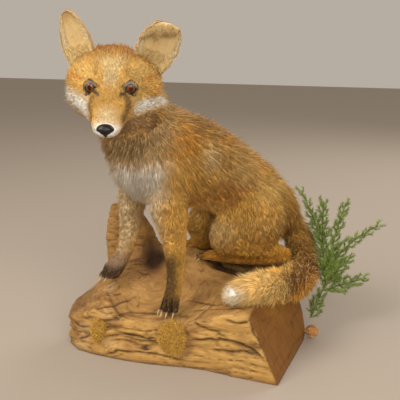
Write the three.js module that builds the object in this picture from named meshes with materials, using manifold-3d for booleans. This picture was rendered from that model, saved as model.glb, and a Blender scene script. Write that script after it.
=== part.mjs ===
// A young red fox, mounted seated on a weathered root log, with moss, a juniper sprig and a chip of bark.
// Millimetres, +Z up. The log's long axis is X, its front faces -Y, and the origin is on the floor
// under the middle of the log. The outlines are those of the coat: they run to the tips of the hair.
import * as THREE from 'three';
import { mergeVertices } from 'three/addons/utils/BufferGeometryUtils.js';
import Module from 'manifold-3d';

const wasm = await Module();
wasm.setup();

// ---------------------------------------------------------------- driving dimensions
const CLEARANCE = 0.3;           // gap kept between neighbouring solids

const EYE_SPACING = 54;          // pupil to pupil
const EYE_RADIUS = 9.5;
const HEAD_TURN = 22.5;          // degrees the face looks right of -Y
const HEAD_DROP = 22;            // degrees the muzzle points down
const HEAD_ROLL = 1.5;           // degrees the head leans to its left
const EYES_AT = [-64, -155, 431];

const HIND_TURN = 58;            // degrees the hindquarters look left of -Y

const LOG_LENGTH = 356;
const LOG_END_LEAN = 0.45;       // run of the sawn end's slope for each millimetre of height

// ---------------------------------------------------------------- solids from three.js geometry
const vec = (p) => new THREE.Vector3(...p);

function solidOf(geometry) {
  const bare = geometry.index ? geometry.toNonIndexed() : geometry;
  bare.deleteAttribute('normal');
  bare.deleteAttribute('uv');
  const merged = mergeVertices(bare, 1e-4);
  return new wasm.Manifold(new wasm.Mesh({
    numProp: 3,
    vertProperties: new Float32Array(merged.attributes.position.array),
    triVerts: new Uint32Array(merged.index.array),
  }));
}

function geometryOf(solid) {
  const mesh = solid.getMesh();
  const geometry = new THREE.BufferGeometry();
  geometry.setAttribute('position', new THREE.BufferAttribute(mesh.vertProperties, 3));
  geometry.setIndex(new THREE.BufferAttribute(mesh.triVerts, 1));
  return geometry;
}

const join = (solids) => solids.reduce((whole, piece) => whole.add(piece));
const cut = (solid, tools) => tools.reduce((rest, tool) => rest.subtract(tool), solid);

function indexed(points, index) {
  const geometry = new THREE.BufferGeometry();
  geometry.setAttribute('position', new THREE.Float32BufferAttribute(points.flatMap((p) => p.toArray()), 3));
  geometry.setIndex(index);
  return geometry;
}

// Rings of points, each closed on itself, skinned into one body with a pole at either end.
function skinRings(rings, startPole, endPole) {
  const sides = rings[0].length;
  const points = [startPole, ...rings.flat(), endPole];
  const last = points.length - 1;
  const index = [];
  for (let i = 0; i < sides; i += 1) {
    const next = (i + 1) % sides;
    index.push(0, 1 + next, 1 + i);
    for (let r = 0; r + 1 < rings.length; r += 1) {
      const a = 1 + r * sides + i;
      const b = 1 + r * sides + next;
      index.push(a, b, b + sides, a, b + sides, a + sides);
    }
    index.push(last, last - sides + i, last - sides + next);
  }
  return indexed(points, index);
}

// A limb or body: stations [x, y, z, half width, reach up, reach down] along a smooth centre line.
// "up" is the way the section's top looks, power 2 gives ellipses and more gives squarer sections,
// and "grow" swells the whole form outwards to leave a gap round it.
function limb(stations, { sides = 16, rings = 14, up = [0, 0, 1], power = 2, from = 0, to = 1, grow = 0 }) {
  const path = new THREE.CatmullRomCurve3(stations.map((s) => new THREE.Vector3(s[0], s[1], s[2])));
  const girth = new THREE.CatmullRomCurve3(stations.map((s) => new THREE.Vector3(s[3], s[4], s[5])));
  const whole = from === 0 && to === 1;
  const sections = [];
  const centres = [];
  for (let k = 0; k <= rings; k += 1) {
    const even = k / rings;
    const eased = (1 - Math.cos(Math.PI * even)) / 2;
    const u = from + (to - from) * (whole ? 0.5 * (even + eased) : even);
    const ahead = path.getTangent(u);
    const centre = path.getPoint(u).addScaledVector(ahead, grow * (2 * even - 1));
    const size = girth.getPoint(u).addScalar(grow);
    const side = new THREE.Vector3().crossVectors(ahead, vec(up)).normalize();
    const top = new THREE.Vector3().crossVectors(side, ahead).normalize();
    const ring = [];
    for (let i = 0; i < sides; i += 1) {
      const angle = (2 * Math.PI * (i + 0.5)) / sides;
      const [c, s] = [Math.cos(angle), Math.sin(angle)];
      const across = Math.sign(c) * Math.abs(c) ** (2 / power) * Math.max(size.x, 0.4);
      const reach = Math.max(s > 0 ? size.y : size.z, 0.4);
      const rise = Math.sign(s) * Math.abs(s) ** (2 / power) * reach;
      ring.push(centre.clone().addScaledVector(side, across).addScaledVector(top, rise));
    }
    sections.push(ring.reverse());
    centres.push(centre);
  }
  return skinRings(sections, centres[0], centres[rings]);
}

function ball(centre, radii, turn = new THREE.Matrix4(), detail = [10, 7]) {
  const geometry = new THREE.SphereGeometry(1, detail[0], detail[1]);
  geometry.rotateX(Math.PI / 2);
  geometry.scale(...radii);
  geometry.applyMatrix4(turn);
  geometry.translate(...centre);
  return geometry;
}

// ---------------------------------------------------------------- the head's own frame
// x runs along the muzzle, y to the fox's left, z up, from the point between the pupils.
const degrees = Math.PI / 180;
const headFrame = new THREE.Matrix4()
  .makeTranslation(...EYES_AT)
  .multiply(new THREE.Matrix4().makeRotationZ((HEAD_TURN - 90) * degrees))
  .multiply(new THREE.Matrix4().makeRotationY(HEAD_DROP * degrees))
  .multiply(new THREE.Matrix4().makeRotationX(-HEAD_ROLL * degrees));
const inHead = (geometry) => geometry.applyMatrix4(headFrame);

// x, y, z of the middle of each section, then half width, height over the middle, depth under it
const HEAD_STATIONS = [
  [-98, 0, -32, 20, 36, 14],
  [-86, 0, -32, 49, 58, 36],
  [-66, 0, -32, 66, 74, 45],
  [-46, 0, -32, 73, 74, 47],
  [-28, 0, -32, 68, 63, 40],
  [-12, 0, -30, 56, 53, 34],
  [4, 0, -26, 42, 38, 32],
  [19, 0, -23, 32, 25, 29],
  [36, 0, -22, 27, 17, 26],
  [53, 0, -24, 23.5, 14.5, 20.5],
  [67, 0, -26, 21, 13, 16],
  [77, 0, -26, 14.5, 9, 10],
  [80, 0, -26, 5, 3, 4],
];
const HEAD_FORM = { sides: 22, rings: 15, power: 2.25 };
const headShape = (grow) => solidOf(inHead(limb(HEAD_STATIONS, { ...HEAD_FORM, grow })));

const NOSE_AT = [79, 0, -22];
const NOSE_RADII = [8, 12, 8];
const noseShape = (grow) => solidOf(inHead(ball(NOSE_AT, NOSE_RADII.map((r) => r + grow))));

// Each eye is a glass ball set in a shallow socket that opens forwards.
const EYE_DEPTH = -5;
const SOCKET_AT = 5;
const SOCKET_RADII = [11, 11, 9];
const eyeAt = (side, depth) => [depth, (side * EYE_SPACING) / 2, -0.5];
const eyeShape = (side) => solidOf(inHead(ball(eyeAt(side, EYE_DEPTH), Array(3).fill(EYE_RADIUS))));
const socketShape = (side) => solidOf(inHead(ball(eyeAt(side, SOCKET_AT), SOCKET_RADII)))
  .add(solidOf(inHead(ball(eyeAt(side, EYE_DEPTH), Array(3).fill(EYE_RADIUS + CLEARANCE)))));

// An ear is a cupped leaf: half widths from its root to its tip, curled backwards at both edges.
const EAR_CUP = 11;
const EAR_THICKNESS = 5;
const EAR_RIGHT = {
  root: [-50, -44, 8], tip: [-66, -66, 84], faces: [1, -0.25, 0.1], widths: [18, 22, 24, 24, 20, 14, 6],
};
const EAR_LEFT = {
  root: [-50, 50, 4], tip: [-58, 80, 70], faces: [1, 0.3, 0.1], widths: [21, 26, 29, 31, 30, 26, 17],
};

function earShape({ root, tip, faces, widths }) {
  const [start, end] = [vec(root), vec(tip)];
  const along = end.clone().sub(start).normalize();
  const across = new THREE.Vector3().crossVectors(along, vec(faces)).normalize();
  const back = new THREE.Vector3().crossVectors(along, across).normalize();
  const width = new THREE.CatmullRomCurve3(widths.map((w, i) => new THREE.Vector3(i, w, 0)));
  const [lengths, steps] = [7, 6];
  const sheet = (depth) => Array.from({ length: lengths + 1 }, (_, i) => {
    const s = i / lengths;
    const half = width.getPoint(s).y;
    return Array.from({ length: steps + 1 }, (__, j) => {
      const t = (2 * j) / steps - 1;
      const cup = EAR_CUP * (1 - 0.5 * s) * (1 - t * t);
      const edge = 1 - 0.55 * t * t;
      return start.clone().lerp(end, s)
        .addScaledVector(across, half * Math.sin((t * Math.PI) / 2) * (depth ? 1.02 : 1))
        .addScaledVector(back, cup + depth * edge);
    });
  });
  const [front, rear] = [sheet(0), sheet(EAR_THICKNESS)];
  const points = [...front.flat(), ...rear.flat()];
  const at = (i, j, layer) => layer * (lengths + 1) * (steps + 1) + i * (steps + 1) + j;
  const index = [];
  const quad = (a, b, c, d) => index.push(a, b, c, a, c, d);
  for (let i = 0; i < lengths; i += 1) {
    for (let j = 0; j < steps; j += 1) {
      quad(at(i, j, 0), at(i, j + 1, 0), at(i + 1, j + 1, 0), at(i + 1, j, 0));
      quad(at(i, j, 1), at(i + 1, j, 1), at(i + 1, j + 1, 1), at(i, j + 1, 1));
    }
    quad(at(i, 0, 0), at(i + 1, 0, 0), at(i + 1, 0, 1), at(i, 0, 1));
    quad(at(i, steps, 0), at(i, steps, 1), at(i + 1, steps, 1), at(i + 1, steps, 0));
  }
  for (let j = 0; j < steps; j += 1) {
    quad(at(0, j, 0), at(0, j, 1), at(0, j + 1, 1), at(0, j + 1, 0));
    quad(at(lengths, j, 0), at(lengths, j + 1, 0), at(lengths, j + 1, 1), at(lengths, j, 1));
  }
  return solidOf(inHead(indexed(points, index)));
}

// ---------------------------------------------------------------- trunk, neck and tail
const TRUNK_STATIONS = [
  [-68, -122, 288, 12, 18, 18],
  [-60, -108, 298, 42, 54, 46],
  [-46, -86, 308, 60, 78, 64],
  [-26, -52, 312, 67, 84, 74],
  [-6, -10, 304, 68, 77, 74],
  [12, 34, 287, 65, 69, 68],
  [43, 80, 256, 63, 62, 62],
  [78, 116, 219, 63, 55, 58],
  [104, 140, 188, 52, 46, 48],
  [120, 154, 168, 22, 22, 22],
];
const trunkForm = (grow) => solidOf(limb(TRUNK_STATIONS, { sides: 20, rings: 14, power: 2.1, grow }));

const NECK_STATIONS = [
  [-40, -60, 318, 50, 57, 62],
  [-52, -76, 352, 55, 62, 64],
  [-66, -92, 388, 55, 60, 58],
  [-79, -106, 422, 50, 52, 50],
];
const neckForm = () => solidOf(limb(NECK_STATIONS, { sides: 16, rings: 5, up: [0.45, 0.85, 0.3] }));

// Neck and trunk are one form, parted by a plane through the shoulders.
const COLLAR = { at: [-42, -66, 352], tilt: [-0.35, -0.4, 0.85] };
function above(plane, lift) {
  const block = new THREE.BoxGeometry(600, 600, 600);
  block.translate(0, 0, 300 + lift);
  const toTilt = new THREE.Quaternion().setFromUnitVectors(vec([0, 0, 1]), vec(plane.tilt).normalize());
  block.applyQuaternion(toTilt);
  block.translate(...plane.at);
  return solidOf(block);
}

const TAIL_STATIONS = [
  [110, 146, 192, 16, 18, 18],
  [122, 160, 176, 22, 22, 22],
  [132, 166, 150, 25, 25, 25],
  [144, 158, 124, 26, 26, 26],
  [154, 130, 108, 26, 26, 29],
  [158, 84, 102, 26, 25, 32],
  [153, 32, 108, 25, 24, 28],
  [141, -18, 118, 24, 23, 22],
  [123, -58, 126, 23, 21, 20],
  [108, -84, 127, 20, 19, 18],
  [98, -98, 124, 13, 12, 12],
  [93, -106, 121, 2, 2, 2],
];
const TAIL_CUTS = [0, 0.36, 0.68, 1];
const TAIL_GAP = 0.0006;         // share of the tail's length left open at each cut
function tailShape(length, grow) {
  const [from, to] = [TAIL_CUTS[length] + (length ? TAIL_GAP : 0), TAIL_CUTS[length + 1]];
  return solidOf(limb(TAIL_STATIONS, { sides: 12, rings: 6, up: [0.35, 0.2, 0.9], from, to, grow }));
}

// ---------------------------------------------------------------- legs and paws
const turned = (heading) => new THREE.Matrix4().makeRotationZ((-90 - heading) * degrees);

// Four toes with their claws, spread in front of a paw that looks along "heading".
const TOE = { radii: [10, 5.4, 6.2], spread: 9.2, advance: [-5, 0, 0, -5] };
const CLAW = { length: 8, radius: 1.9 };
function toes({ at: centre, heading, drop }, grow) {
  const turn = turned(heading);
  const place = (p) => vec(p).applyMatrix4(turn).add(vec(centre)).toArray();
  return TOE.advance.flatMap((advance, i) => {
    const y = (i - 1.5) * TOE.spread;
    const toe = ball(place([advance, y, 0]), TOE.radii.map((r) => r + grow), turn, [6, 3]);
    const claw = new THREE.ConeGeometry(CLAW.radius + grow, CLAW.length, 4);
    claw.rotateZ(-Math.PI / 2);
    claw.rotateY(drop * degrees);
    claw.translate(advance + TOE.radii[0] + 1, y, -1.5);
    claw.applyMatrix4(turn);
    claw.translate(...centre);
    return [solidOf(toe), solidOf(claw)];
  });
}

const FORELEG = {
  left: [
    [-20, -74, 306, 10, 26, 26],
    [-12, -80, 282, 22, 38, 36],
    [-9, -85, 254, 29, 36, 34],
    [-3, -88, 222, 24, 28, 28],
    [3, -91, 191, 18.5, 20, 21],
    [6, -95, 160, 15, 16, 17],
    [6, -100, 133, 13, 13, 13],
    [5, -106, 114, 15, 13, 13],
    [3, -111, 101, 18, 11, 11],
    [2, -114, 93, 15, 7, 8],
  ],
  right: [
    [-76, -46, 290, 10, 22, 22],
    [-84, -50, 266, 22, 31, 30],
    [-90, -52, 236, 21, 27, 25],
    [-93, -53, 205, 17, 20, 20],
    [-97, -56, 180, 15, 16, 16],
    [-101, -62, 157, 14, 14, 14],
    [-107, -72, 142, 17, 14, 13],
    [-113, -82, 132, 20, 12, 12],
    [-118, -88, 126, 16, 8, 8],
  ],
};
const FRONT_PAW = {
  left: { at: [1, -116, 93], heading: 12, drop: 40 },
  right: { at: [-121, -91, 125], heading: 40, drop: 34 },
};

function forelegShape(side, grow) {
  const leg = solidOf(limb(FORELEG[side], { sides: 12, rings: 11, up: [-0.3, -0.95, 0], grow }));
  return join([leg, ...toes(FRONT_PAW[side], grow)]);
}

// A hind leg is folded: a broad thigh, the shank running back under it, and the long foot laid flat.
const THIGH = {
  left: [[77, 64, 203], [42, 64, 66]],
  right: [[16, 124, 198], [36, 60, 60]],
};
const KNEE = {
  left: [[46, 36, 178], [30, 37, 42]],
  right: [[-22, 96, 176], [28, 36, 40]],
};
const SHANK = {
  left: [
    [56, 34, 160, 20, 22, 22], [92, 64, 148, 18, 20, 20], [122, 88, 140, 14, 17, 16], [138, 100, 134, 10, 13, 12],
  ],
  right: [
    [2, 96, 160, 20, 22, 22], [36, 124, 148, 18, 20, 20], [66, 144, 140, 14, 17, 16], [84, 158, 134, 10, 13, 12],
  ],
};
const FOOT = {
  left: [
    [138, 101, 132, 8, 11, 9], [126, 92, 128, 13, 13, 12], [84, 66, 128, 12, 11, 11],
    [40, 45, 133, 13, 11, 11], [14, 35, 137, 17, 11, 11], [6, 32, 138, 13, 8, 8],
  ],
  right: [
    [84, 160, 132, 8, 11, 9], [72, 152, 128, 13, 13, 12], [30, 128, 128, 12, 11, 11],
    [-14, 102, 132, 13, 11, 11], [-40, 90, 136, 17, 11, 11], [-48, 86, 137, 13, 8, 8],
  ],
};
const HIND_PAW = {
  left: { at: [-1, 28, 136], heading: 66, drop: 24 },
  right: { at: [-54, 82, 135], heading: 62, drop: 24 },
};

function hindlegShape(side, grow) {
  const turn = turned(HIND_TURN);
  const [thighAt, [thick, long, high]] = THIGH[side];
  const [kneeAt, [kneeThick, kneeLong, kneeHigh]] = KNEE[side];
  return join([
    solidOf(ball(thighAt, [long + grow, thick + grow, high + grow], turn)),
    solidOf(ball(kneeAt, [kneeLong + grow, kneeThick + grow, kneeHigh + grow], turn)),
    solidOf(limb(SHANK[side], { sides: 7, rings: 3, grow })),
    solidOf(limb(FOOT[side], { sides: 7, rings: 6, grow })),
    ...toes(HIND_PAW[side], grow),
  ]);
}

// ---------------------------------------------------------------- the log and what grows on it
const smooth = (a, b, x) => THREE.MathUtils.smoothstep(x, a, b);
const hump = (x, y, [cx, cy, rx, ry, height]) => {
  const away = ((x - cx) / rx) ** 2 + ((y - cy) / ry) ** 2;
  return height * Math.exp(-away);
};

// The plan of the log on the floor, counter-clockwise from the sawn right end.
const LOG_PLAN = [
  [222, -70], [199, -18], [172, 78], [116, 148], [10, 160], [-66, 112], [-116, 44], [-156, -18],
  [-188, -56], [-196, -90], [-166, -120], [-100, -129], [-26, -124], [52, -111], [130, -114], [214, -108],
];
const LOG_MIDDLE = [10, 0];
// side rings: share of the edge height, and how far the wood stands out of the plan line
const LOG_LAYERS = [[0, -3], [0.06, 0], [0.3, 2], [0.42, -5], [0.58, 1], [0.72, -4], [0.86, 2], [1, -5]];
const LOG_TOP_RINGS = [0.84, 0.64, 0.44, 0.22];
// bumps in the top: x, y, radius along x and y, height
const LOG_HUMPS = [
  [-84, -2, 46, 42, 40],
  [-112, -58, 32, 32, 12],
  [2, 46, 34, 30, 10],
  [-36, 42, 28, 26, 18],
  [92, 128, 60, 50, -6],
];
const LEFT_DROP = 32;            // how far the top falls away towards the rooty left end
// heights of the front edge and of the back of the top
const EDGE_LEFT = 84;
const EDGE_MIDDLE = 72;
const EDGE_RIGHT = 104;
const BACK_LEFT = 122;
const BACK_RIGHT = 113;
function logTop(x, y) {
  const left = (EDGE_LEFT - EDGE_MIDDLE) * smooth(60, 150, -x);
  const right = (EDGE_RIGHT - EDGE_MIDDLE) * smooth(10, 125, x);
  const front = EDGE_MIDDLE + left + right;
  const back = BACK_LEFT + (BACK_RIGHT - BACK_LEFT) * smooth(0, 110, x);
  const rise = smooth(-135, 20, y);
  const fall = LEFT_DROP * smooth(118, 195, -x);
  return front + (back - front) * rise - fall + LOG_HUMPS.reduce((sum, h) => sum + hump(x, y, h), 0);
}

// A broken root stands up behind the right foreleg.
const ROOT_STATIONS = [
  [-112, 14, 88, 54, 30, 26], [-117, 8, 130, 52, 26, 22], [-123, 1, 168, 47, 21, 18],
  [-130, -5, 196, 36, 15, 14], [-142, -9, 214, 20, 9, 8], [-148, -11, 224, 4, 4, 4],
];
const HOLLOW = { at: [50, 78, 118], radii: [30, 22, 26] };
const SIDE_HOLLOW = { at: [-58, -34, 156], radii: [16, 24, 26] };

function logShape() {
  const outline = new THREE.CatmullRomCurve3(LOG_PLAN.map(([x, y]) => new THREE.Vector3(x, y, 0)), true);
  const sides = 36;
  const plan = Array.from({ length: sides }, (_, i) => outline.getPointAt(i / sides));
  const middle = new THREE.Vector3(...LOG_MIDDLE, 0);
  const wall = LOG_LAYERS.map(([share, out]) => plan.map((p) => {
    const away = p.clone().sub(middle).normalize();
    const wave = out * (0.7 + 0.3 * Math.sin(p.x * 0.045 + share * 9));
    const q = p.clone().addScaledVector(away, wave);
    q.z = share * logTop(p.x, p.y);
    return q;
  }));
  const top = LOG_TOP_RINGS.map((share) => plan.map((p) => {
    const q = middle.clone().lerp(p, share);
    q.z = logTop(q.x, q.y) + (share > 0.8 ? 2 : 0);
    return q;
  }));
  const crown = new THREE.Vector3(...LOG_MIDDLE, logTop(...LOG_MIDDLE));
  const body = solidOf(skinRings([...wall, ...top], middle, crown));
  const root = solidOf(limb(ROOT_STATIONS, { sides: 14, rings: 7, up: [0.1, -1, 0], power: 2.4 }));
  const hollow = solidOf(ball(HOLLOW.at, HOLLOW.radii));
  const sideHollow = solidOf(ball(SIDE_HOLLOW.at, SIDE_HOLLOW.radii));
  const sawn = new THREE.BoxGeometry(200, 600, 600);
  sawn.translate(100, 0, 0);
  sawn.applyMatrix4(new THREE.Matrix4().makeRotationY(-Math.atan(LOG_END_LEAN)));
  sawn.translate(LOG_LENGTH / 2, 0, 0);
  return cut(join([body, root]), [hollow, sideHollow, solidOf(sawn)]);
}

const MOSS = {
  front: [[10, -122, 50], [24, 9, 30]],
  left: [[-114, -127, 46], [13, 9, 22]],
};
function mossShape([centre, radii], log, lift) {
  return solidOf(ball(centre, radii)).subtract(log).translate(lift);
}

// ---------------------------------------------------------------- sprig and chip behind the right end
const SPRIG_TWIGS = [
  [[181, 76, 32], [189, 92, 56], [197, 112, 84]],
  [[196, 114, 80], [176, 156, 150], [129, 184, 233]],
  [[180, 152, 136], [178, 162, 180], [177, 166, 217]],
  [[197, 117, 90], [203, 146, 156], [219, 160, 221]],
  [[198, 117, 84], [220, 147, 138], [276, 176, 181]],
  [[198, 115, 80], [216, 121, 110], [239, 129, 133]],
  [[197, 110, 72], [226, 134, 80], [263, 149, 91]],
];
const TWIG_RADIUS = 11;
const TWIG_END = 3;
function sprigShape() {
  const round = (point, radius) => [...point, radius, radius, radius];
  return join(SPRIG_TWIGS.map(([start, middle, tip]) => {
    const stations = [round(start, TWIG_END), round(middle, TWIG_RADIUS), round(tip, TWIG_END)];
    return solidOf(limb(stations, { sides: 6, rings: 3, up: [0.6, -0.8, 0] }));
  }));
}

const CHIP = { at: [186, 68, 12.4], size: [22, 18, 20], turn: 24 };
function chipShape() {
  const geometry = new THREE.DodecahedronGeometry(0.62);
  geometry.scale(...CHIP.size);
  geometry.rotateZ(CHIP.turn * degrees);
  geometry.translate(...CHIP.at);
  return solidOf(geometry);
}

// ---------------------------------------------------------------- assembly
const material = (color, roughness) => new THREE.MeshStandardMaterial({ color, roughness, metalness: 0 });
const fur = material(0xc48a45, 0.9);
const paleFur = material(0xd8cbb4, 0.9);
const darkFur = material(0x5a4232, 0.9);
const eyeGlass = material(0x8a4a12, 0.1);
const noseLeather = material(0x161514, 0.35);
const wood = material(0xa9773f, 0.85);
const moss = material(0xb08a2e, 0.95);
const needles = material(0x4f7a35, 0.8);
const bark = material(0x9a6a48, 0.9);

const fox = new THREE.Group();
function add(name, solid, surface) {
  const mesh = new THREE.Mesh(geometryOf(solid), surface);
  mesh.name = name;
  fox.add(mesh);
}

const trunkGrown = trunkForm(CLEARANCE);
const headGrown = headShape(CLEARANCE);
const body = join([trunkForm(0), neckForm()]);
const log = logShape();
const logLifted = log.translate([0, 0, CLEARANCE]);
const onLog = [trunkGrown, log, logLifted];

add('trunk', body.subtract(above(COLLAR, 0)), fur);
add('neck', body.intersect(above(COLLAR, CLEARANCE)).subtract(headGrown), fur);
add('head', cut(headShape(0), [noseShape(CLEARANCE), socketShape(1), socketShape(-1)]), fur);
add('ear_left', earShape(EAR_LEFT).subtract(headGrown), paleFur);
add('ear_right', earShape(EAR_RIGHT).subtract(headGrown), paleFur);
add('eye_left', eyeShape(1), eyeGlass);
add('eye_right', eyeShape(-1), eyeGlass);
add('nose_pad', noseShape(0), noseLeather);
for (const side of ['left', 'right']) {
  add(`foreleg_${side}`, cut(forelegShape(side, 0), onLog), darkFur);
  add(`hindleg_${side}`, cut(hindlegShape(side, 0), onLog), fur);
}
const behindTail = [...onLog, hindlegShape('left', CLEARANCE), hindlegShape('right', CLEARANCE)];
['tail_base', 'tail_middle', 'tail_tip'].forEach((name, i) => {
  add(name, cut(tailShape(i, 0), behindTail), i < 2 ? fur : paleFur);
});
add('base_log', log, wood);
add('base_moss_front', mossShape(MOSS.front, log, [0, -CLEARANCE, CLEARANCE]), moss);
add('base_moss_left', mossShape(MOSS.left, log, [-CLEARANCE, -CLEARANCE, 0]), moss);
const tailGrown = [0, 1, 2].map((length) => tailShape(length, CLEARANCE));
const besideSprig = [trunkGrown, log, chipShape().translate([0, 0, CLEARANCE]), ...tailGrown];
add('base_sprig', cut(sprigShape(), besideSprig), needles);
add('base_chip', chipShape(), bark);

export default fox;
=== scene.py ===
# %% [markdown]
# # A seated fox mount, from its skin to the tips of its coat
#
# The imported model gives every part's place and size. This script puts the looks round it: one skin over
# all the flesh, a coat of hair locks that lie as a fox's do, glass eyes, a wet nose, horn claws, and the
# weathered log with its moss, its juniper sprig and its chip of bark.
#
# Lengths are named in millimetres and turned into metres where a mesh is made.

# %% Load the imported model
import math
from itertools import product

import bmesh
import bpy
import numpy as np
from mathutils import Matrix, Vector
from mathutils.bvhtree import BVHTree
from mathutils.kdtree import KDTree


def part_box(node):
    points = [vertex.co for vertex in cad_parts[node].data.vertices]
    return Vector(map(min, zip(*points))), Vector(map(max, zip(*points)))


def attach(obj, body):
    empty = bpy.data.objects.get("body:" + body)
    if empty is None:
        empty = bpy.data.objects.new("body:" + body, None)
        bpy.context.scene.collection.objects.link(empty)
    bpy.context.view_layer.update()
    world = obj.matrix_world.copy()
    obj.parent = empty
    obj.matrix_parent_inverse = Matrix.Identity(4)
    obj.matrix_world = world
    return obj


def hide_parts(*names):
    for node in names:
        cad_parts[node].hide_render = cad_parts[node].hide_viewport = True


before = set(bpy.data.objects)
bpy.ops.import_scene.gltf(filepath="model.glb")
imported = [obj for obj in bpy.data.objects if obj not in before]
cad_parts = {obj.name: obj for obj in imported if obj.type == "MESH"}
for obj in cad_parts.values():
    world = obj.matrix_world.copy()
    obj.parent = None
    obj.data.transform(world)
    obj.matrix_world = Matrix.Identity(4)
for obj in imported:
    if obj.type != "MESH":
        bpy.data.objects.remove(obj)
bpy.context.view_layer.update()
MM = 0.001

# %% [markdown]
# Most of the work is done on whole arrays of points at once, because a coat has more than a hundred
# thousand locks. These few helpers do the sums, and the noise is a smooth random field that gives the
# same answer on every run.

# %% Arithmetic on arrays of points
def unit(vectors):
    vectors = np.asarray(vectors, float)
    return vectors / np.maximum(np.linalg.norm(vectors, axis=-1, keepdims=True), 1e-9)


def ease(low, high, x):
    t = np.clip((np.asarray(x, float) - low) / (high - low), 0, 1)
    return t * t * (3 - 2 * t)


def table(*columns):
    """Arrays set side by side as the columns of one."""
    return np.stack(columns, axis=1)


def mix(a, b, share):
    return a + (b - a) * share


def lattice(cell, seed):
    h = cell[..., 0] * 374761393 + cell[..., 1] * 668265263 + cell[..., 2] * 1274126177 + seed * 97531
    h = h & 0xFFFFFFFF
    h = ((h ^ (h >> 13)) * 1274126177) & 0xFFFFFFFF
    return ((h ^ (h >> 16)) & 0xFFFF) / 65535.0


def wander(points, size, seed=0):
    """A smooth random field from -1 to 1 whose bumps are about size across."""
    scaled = np.asarray(points, float) / size
    cell = np.floor(scaled).astype(np.int64)
    inside = scaled - cell
    inside = inside * inside * (3 - 2 * inside)
    total = np.zeros(len(scaled))
    for corner in product((0, 1), repeat=3):
        corner = np.array(corner)
        weight = np.prod(np.where(corner == 1, inside, 1 - inside), axis=1)
        total += weight * lattice(cell + corner, seed)
    return 2 * total - 1


def rugged(points, size, octaves, seed=0):
    """Several sizes of the field on top of each other, each half the last."""
    return sum(wander(points, size / 2 ** k, seed + k) / 2 ** k for k in range(octaves))


print("a sample of the field:", wander(np.zeros((1, 3)) + 0.4, 1.0).round(3))

# %% Meshes from arrays, and arrays from meshes
def read_array(items, name, width, kind=np.float32):
    flat = np.empty(len(items) * width, kind)
    items.foreach_get(name, flat)
    return flat.reshape(-1, width)


def points_of(mesh):
    return read_array(mesh.vertices, "co", 3).astype(float)


def normals_of(mesh):
    return read_array(mesh.vertices, "normal", 3).astype(float)


def put_points(mesh, points):
    mesh.vertices.foreach_set("co", np.asarray(points, np.float32).ravel())
    mesh.update()


def smooth_shaded(mesh):
    mesh.polygons.foreach_set("use_smooth", np.ones(len(mesh.polygons), bool))
    return mesh


def mesh_from(name, points, faces):
    """A smooth-shaded mesh from an array of points and an array of faces with equal numbers of sides."""
    mesh = bpy.data.meshes.new(name)
    faces = np.asarray(faces, np.int32)
    mesh.vertices.add(len(points))
    mesh.vertices.foreach_set("co", np.asarray(points, np.float32).ravel())
    mesh.loops.add(faces.size)
    mesh.loops.foreach_set("vertex_index", faces.ravel())
    mesh.polygons.add(len(faces))
    mesh.polygons.foreach_set("loop_start", np.arange(0, faces.size, faces.shape[1], dtype=np.int32))
    mesh.update(calc_edges=True)
    return smooth_shaded(mesh)


def facing(mesh, number, way):
    """The mesh, turned inside out if the numbered point's normal doesn't look the given way."""
    if normals_of(mesh)[number] @ way < 0:
        mesh.flip_normals()
    return mesh


def in_scene(name, data):
    """A new object in the scene that holds the data."""
    thing = bpy.data.objects.new(name, data)
    bpy.context.scene.collection.objects.link(thing)
    return thing


def piece(name, mesh, material, slot, *nodes):
    """Puts a finished mesh on show as a piece of the object that stands for CAD nodes."""
    shown = in_scene(name, mesh)
    mesh.materials.clear()
    mesh.materials.append(material)
    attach(shown, "root")
    if nodes:
        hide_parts(*nodes)
    print(f"{name}: {len(mesh.polygons)} faces")


def colour_points(mesh, colours):
    attribute = mesh.color_attributes.new("marking", "FLOAT_COLOR", "POINT")
    rgba = np.ones((len(mesh.vertices), 4), np.float32)
    rgba[:, :3] = colours
    attribute.data.foreach_set("color", rgba.ravel())


def number_points(mesh, name, values):
    attribute = mesh.attributes.new(name, "FLOAT", "POINT")
    attribute.data.foreach_set("value", np.asarray(values, np.float32))


def tree_of_points(points):
    tree = KDTree(len(points))
    for number, point in enumerate(points):
        tree.insert(point, number)
    tree.balance()
    return tree


def nearest_in(tree, points):
    return np.array([tree.find(point)[1] for point in points])


# %% [markdown]
# ## The head's own directions
#
# The head is turned and lowered, so its features are easier to place along its own lines: x runs along
# the muzzle, y to the fox's left and z up, from the point between the pupils. Eyes and nose pad fix
# these lines, so they are read from the frame.

# %% The head's own frame
EYE_RADIUS = 9.5
EYE_AT = (-5, 27, -0.5)
NOSE_AT, NOSE_RADII = (79, 0, -22), (8.0, 12.0, 8.0)


def middle_of(node):
    low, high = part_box(node)
    return np.array((low + high) / 2)


between = (middle_of("eye_left") + middle_of("eye_right")) / 2
head_y = unit(middle_of("eye_left") - middle_of("eye_right"))
to_nose = middle_of("nose_pad") - between
to_nose = unit(to_nose - head_y * (to_nose @ head_y))
nose_drop = math.atan2(EYE_AT[2] - NOSE_AT[2], NOSE_AT[0] - EYE_AT[0])
head_x = math.cos(nose_drop) * to_nose + math.sin(nose_drop) * np.cross(to_nose, head_y)
head_z = np.cross(head_x, head_y)
HEAD_AXES = np.stack([head_x, head_y, head_z])
head_origin = between - (EYE_AT[0] * head_x + EYE_AT[2] * head_z) * MM


def to_head(points):
    return (np.asarray(points) - head_origin) @ HEAD_AXES.T / MM


def from_head(points):
    return head_origin + np.asarray(points, float) @ HEAD_AXES * MM


def head_way(directions):
    return np.asarray(directions, float) @ HEAD_AXES


def both_sides(head_points):
    """The points with the right half of the head turned over on to the left."""
    return table(head_points[:, 0], np.abs(head_points[:, 1]), head_points[:, 2])


def eye_centre(side):
    return np.array(EYE_AT) * (1, side, 1)


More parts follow.
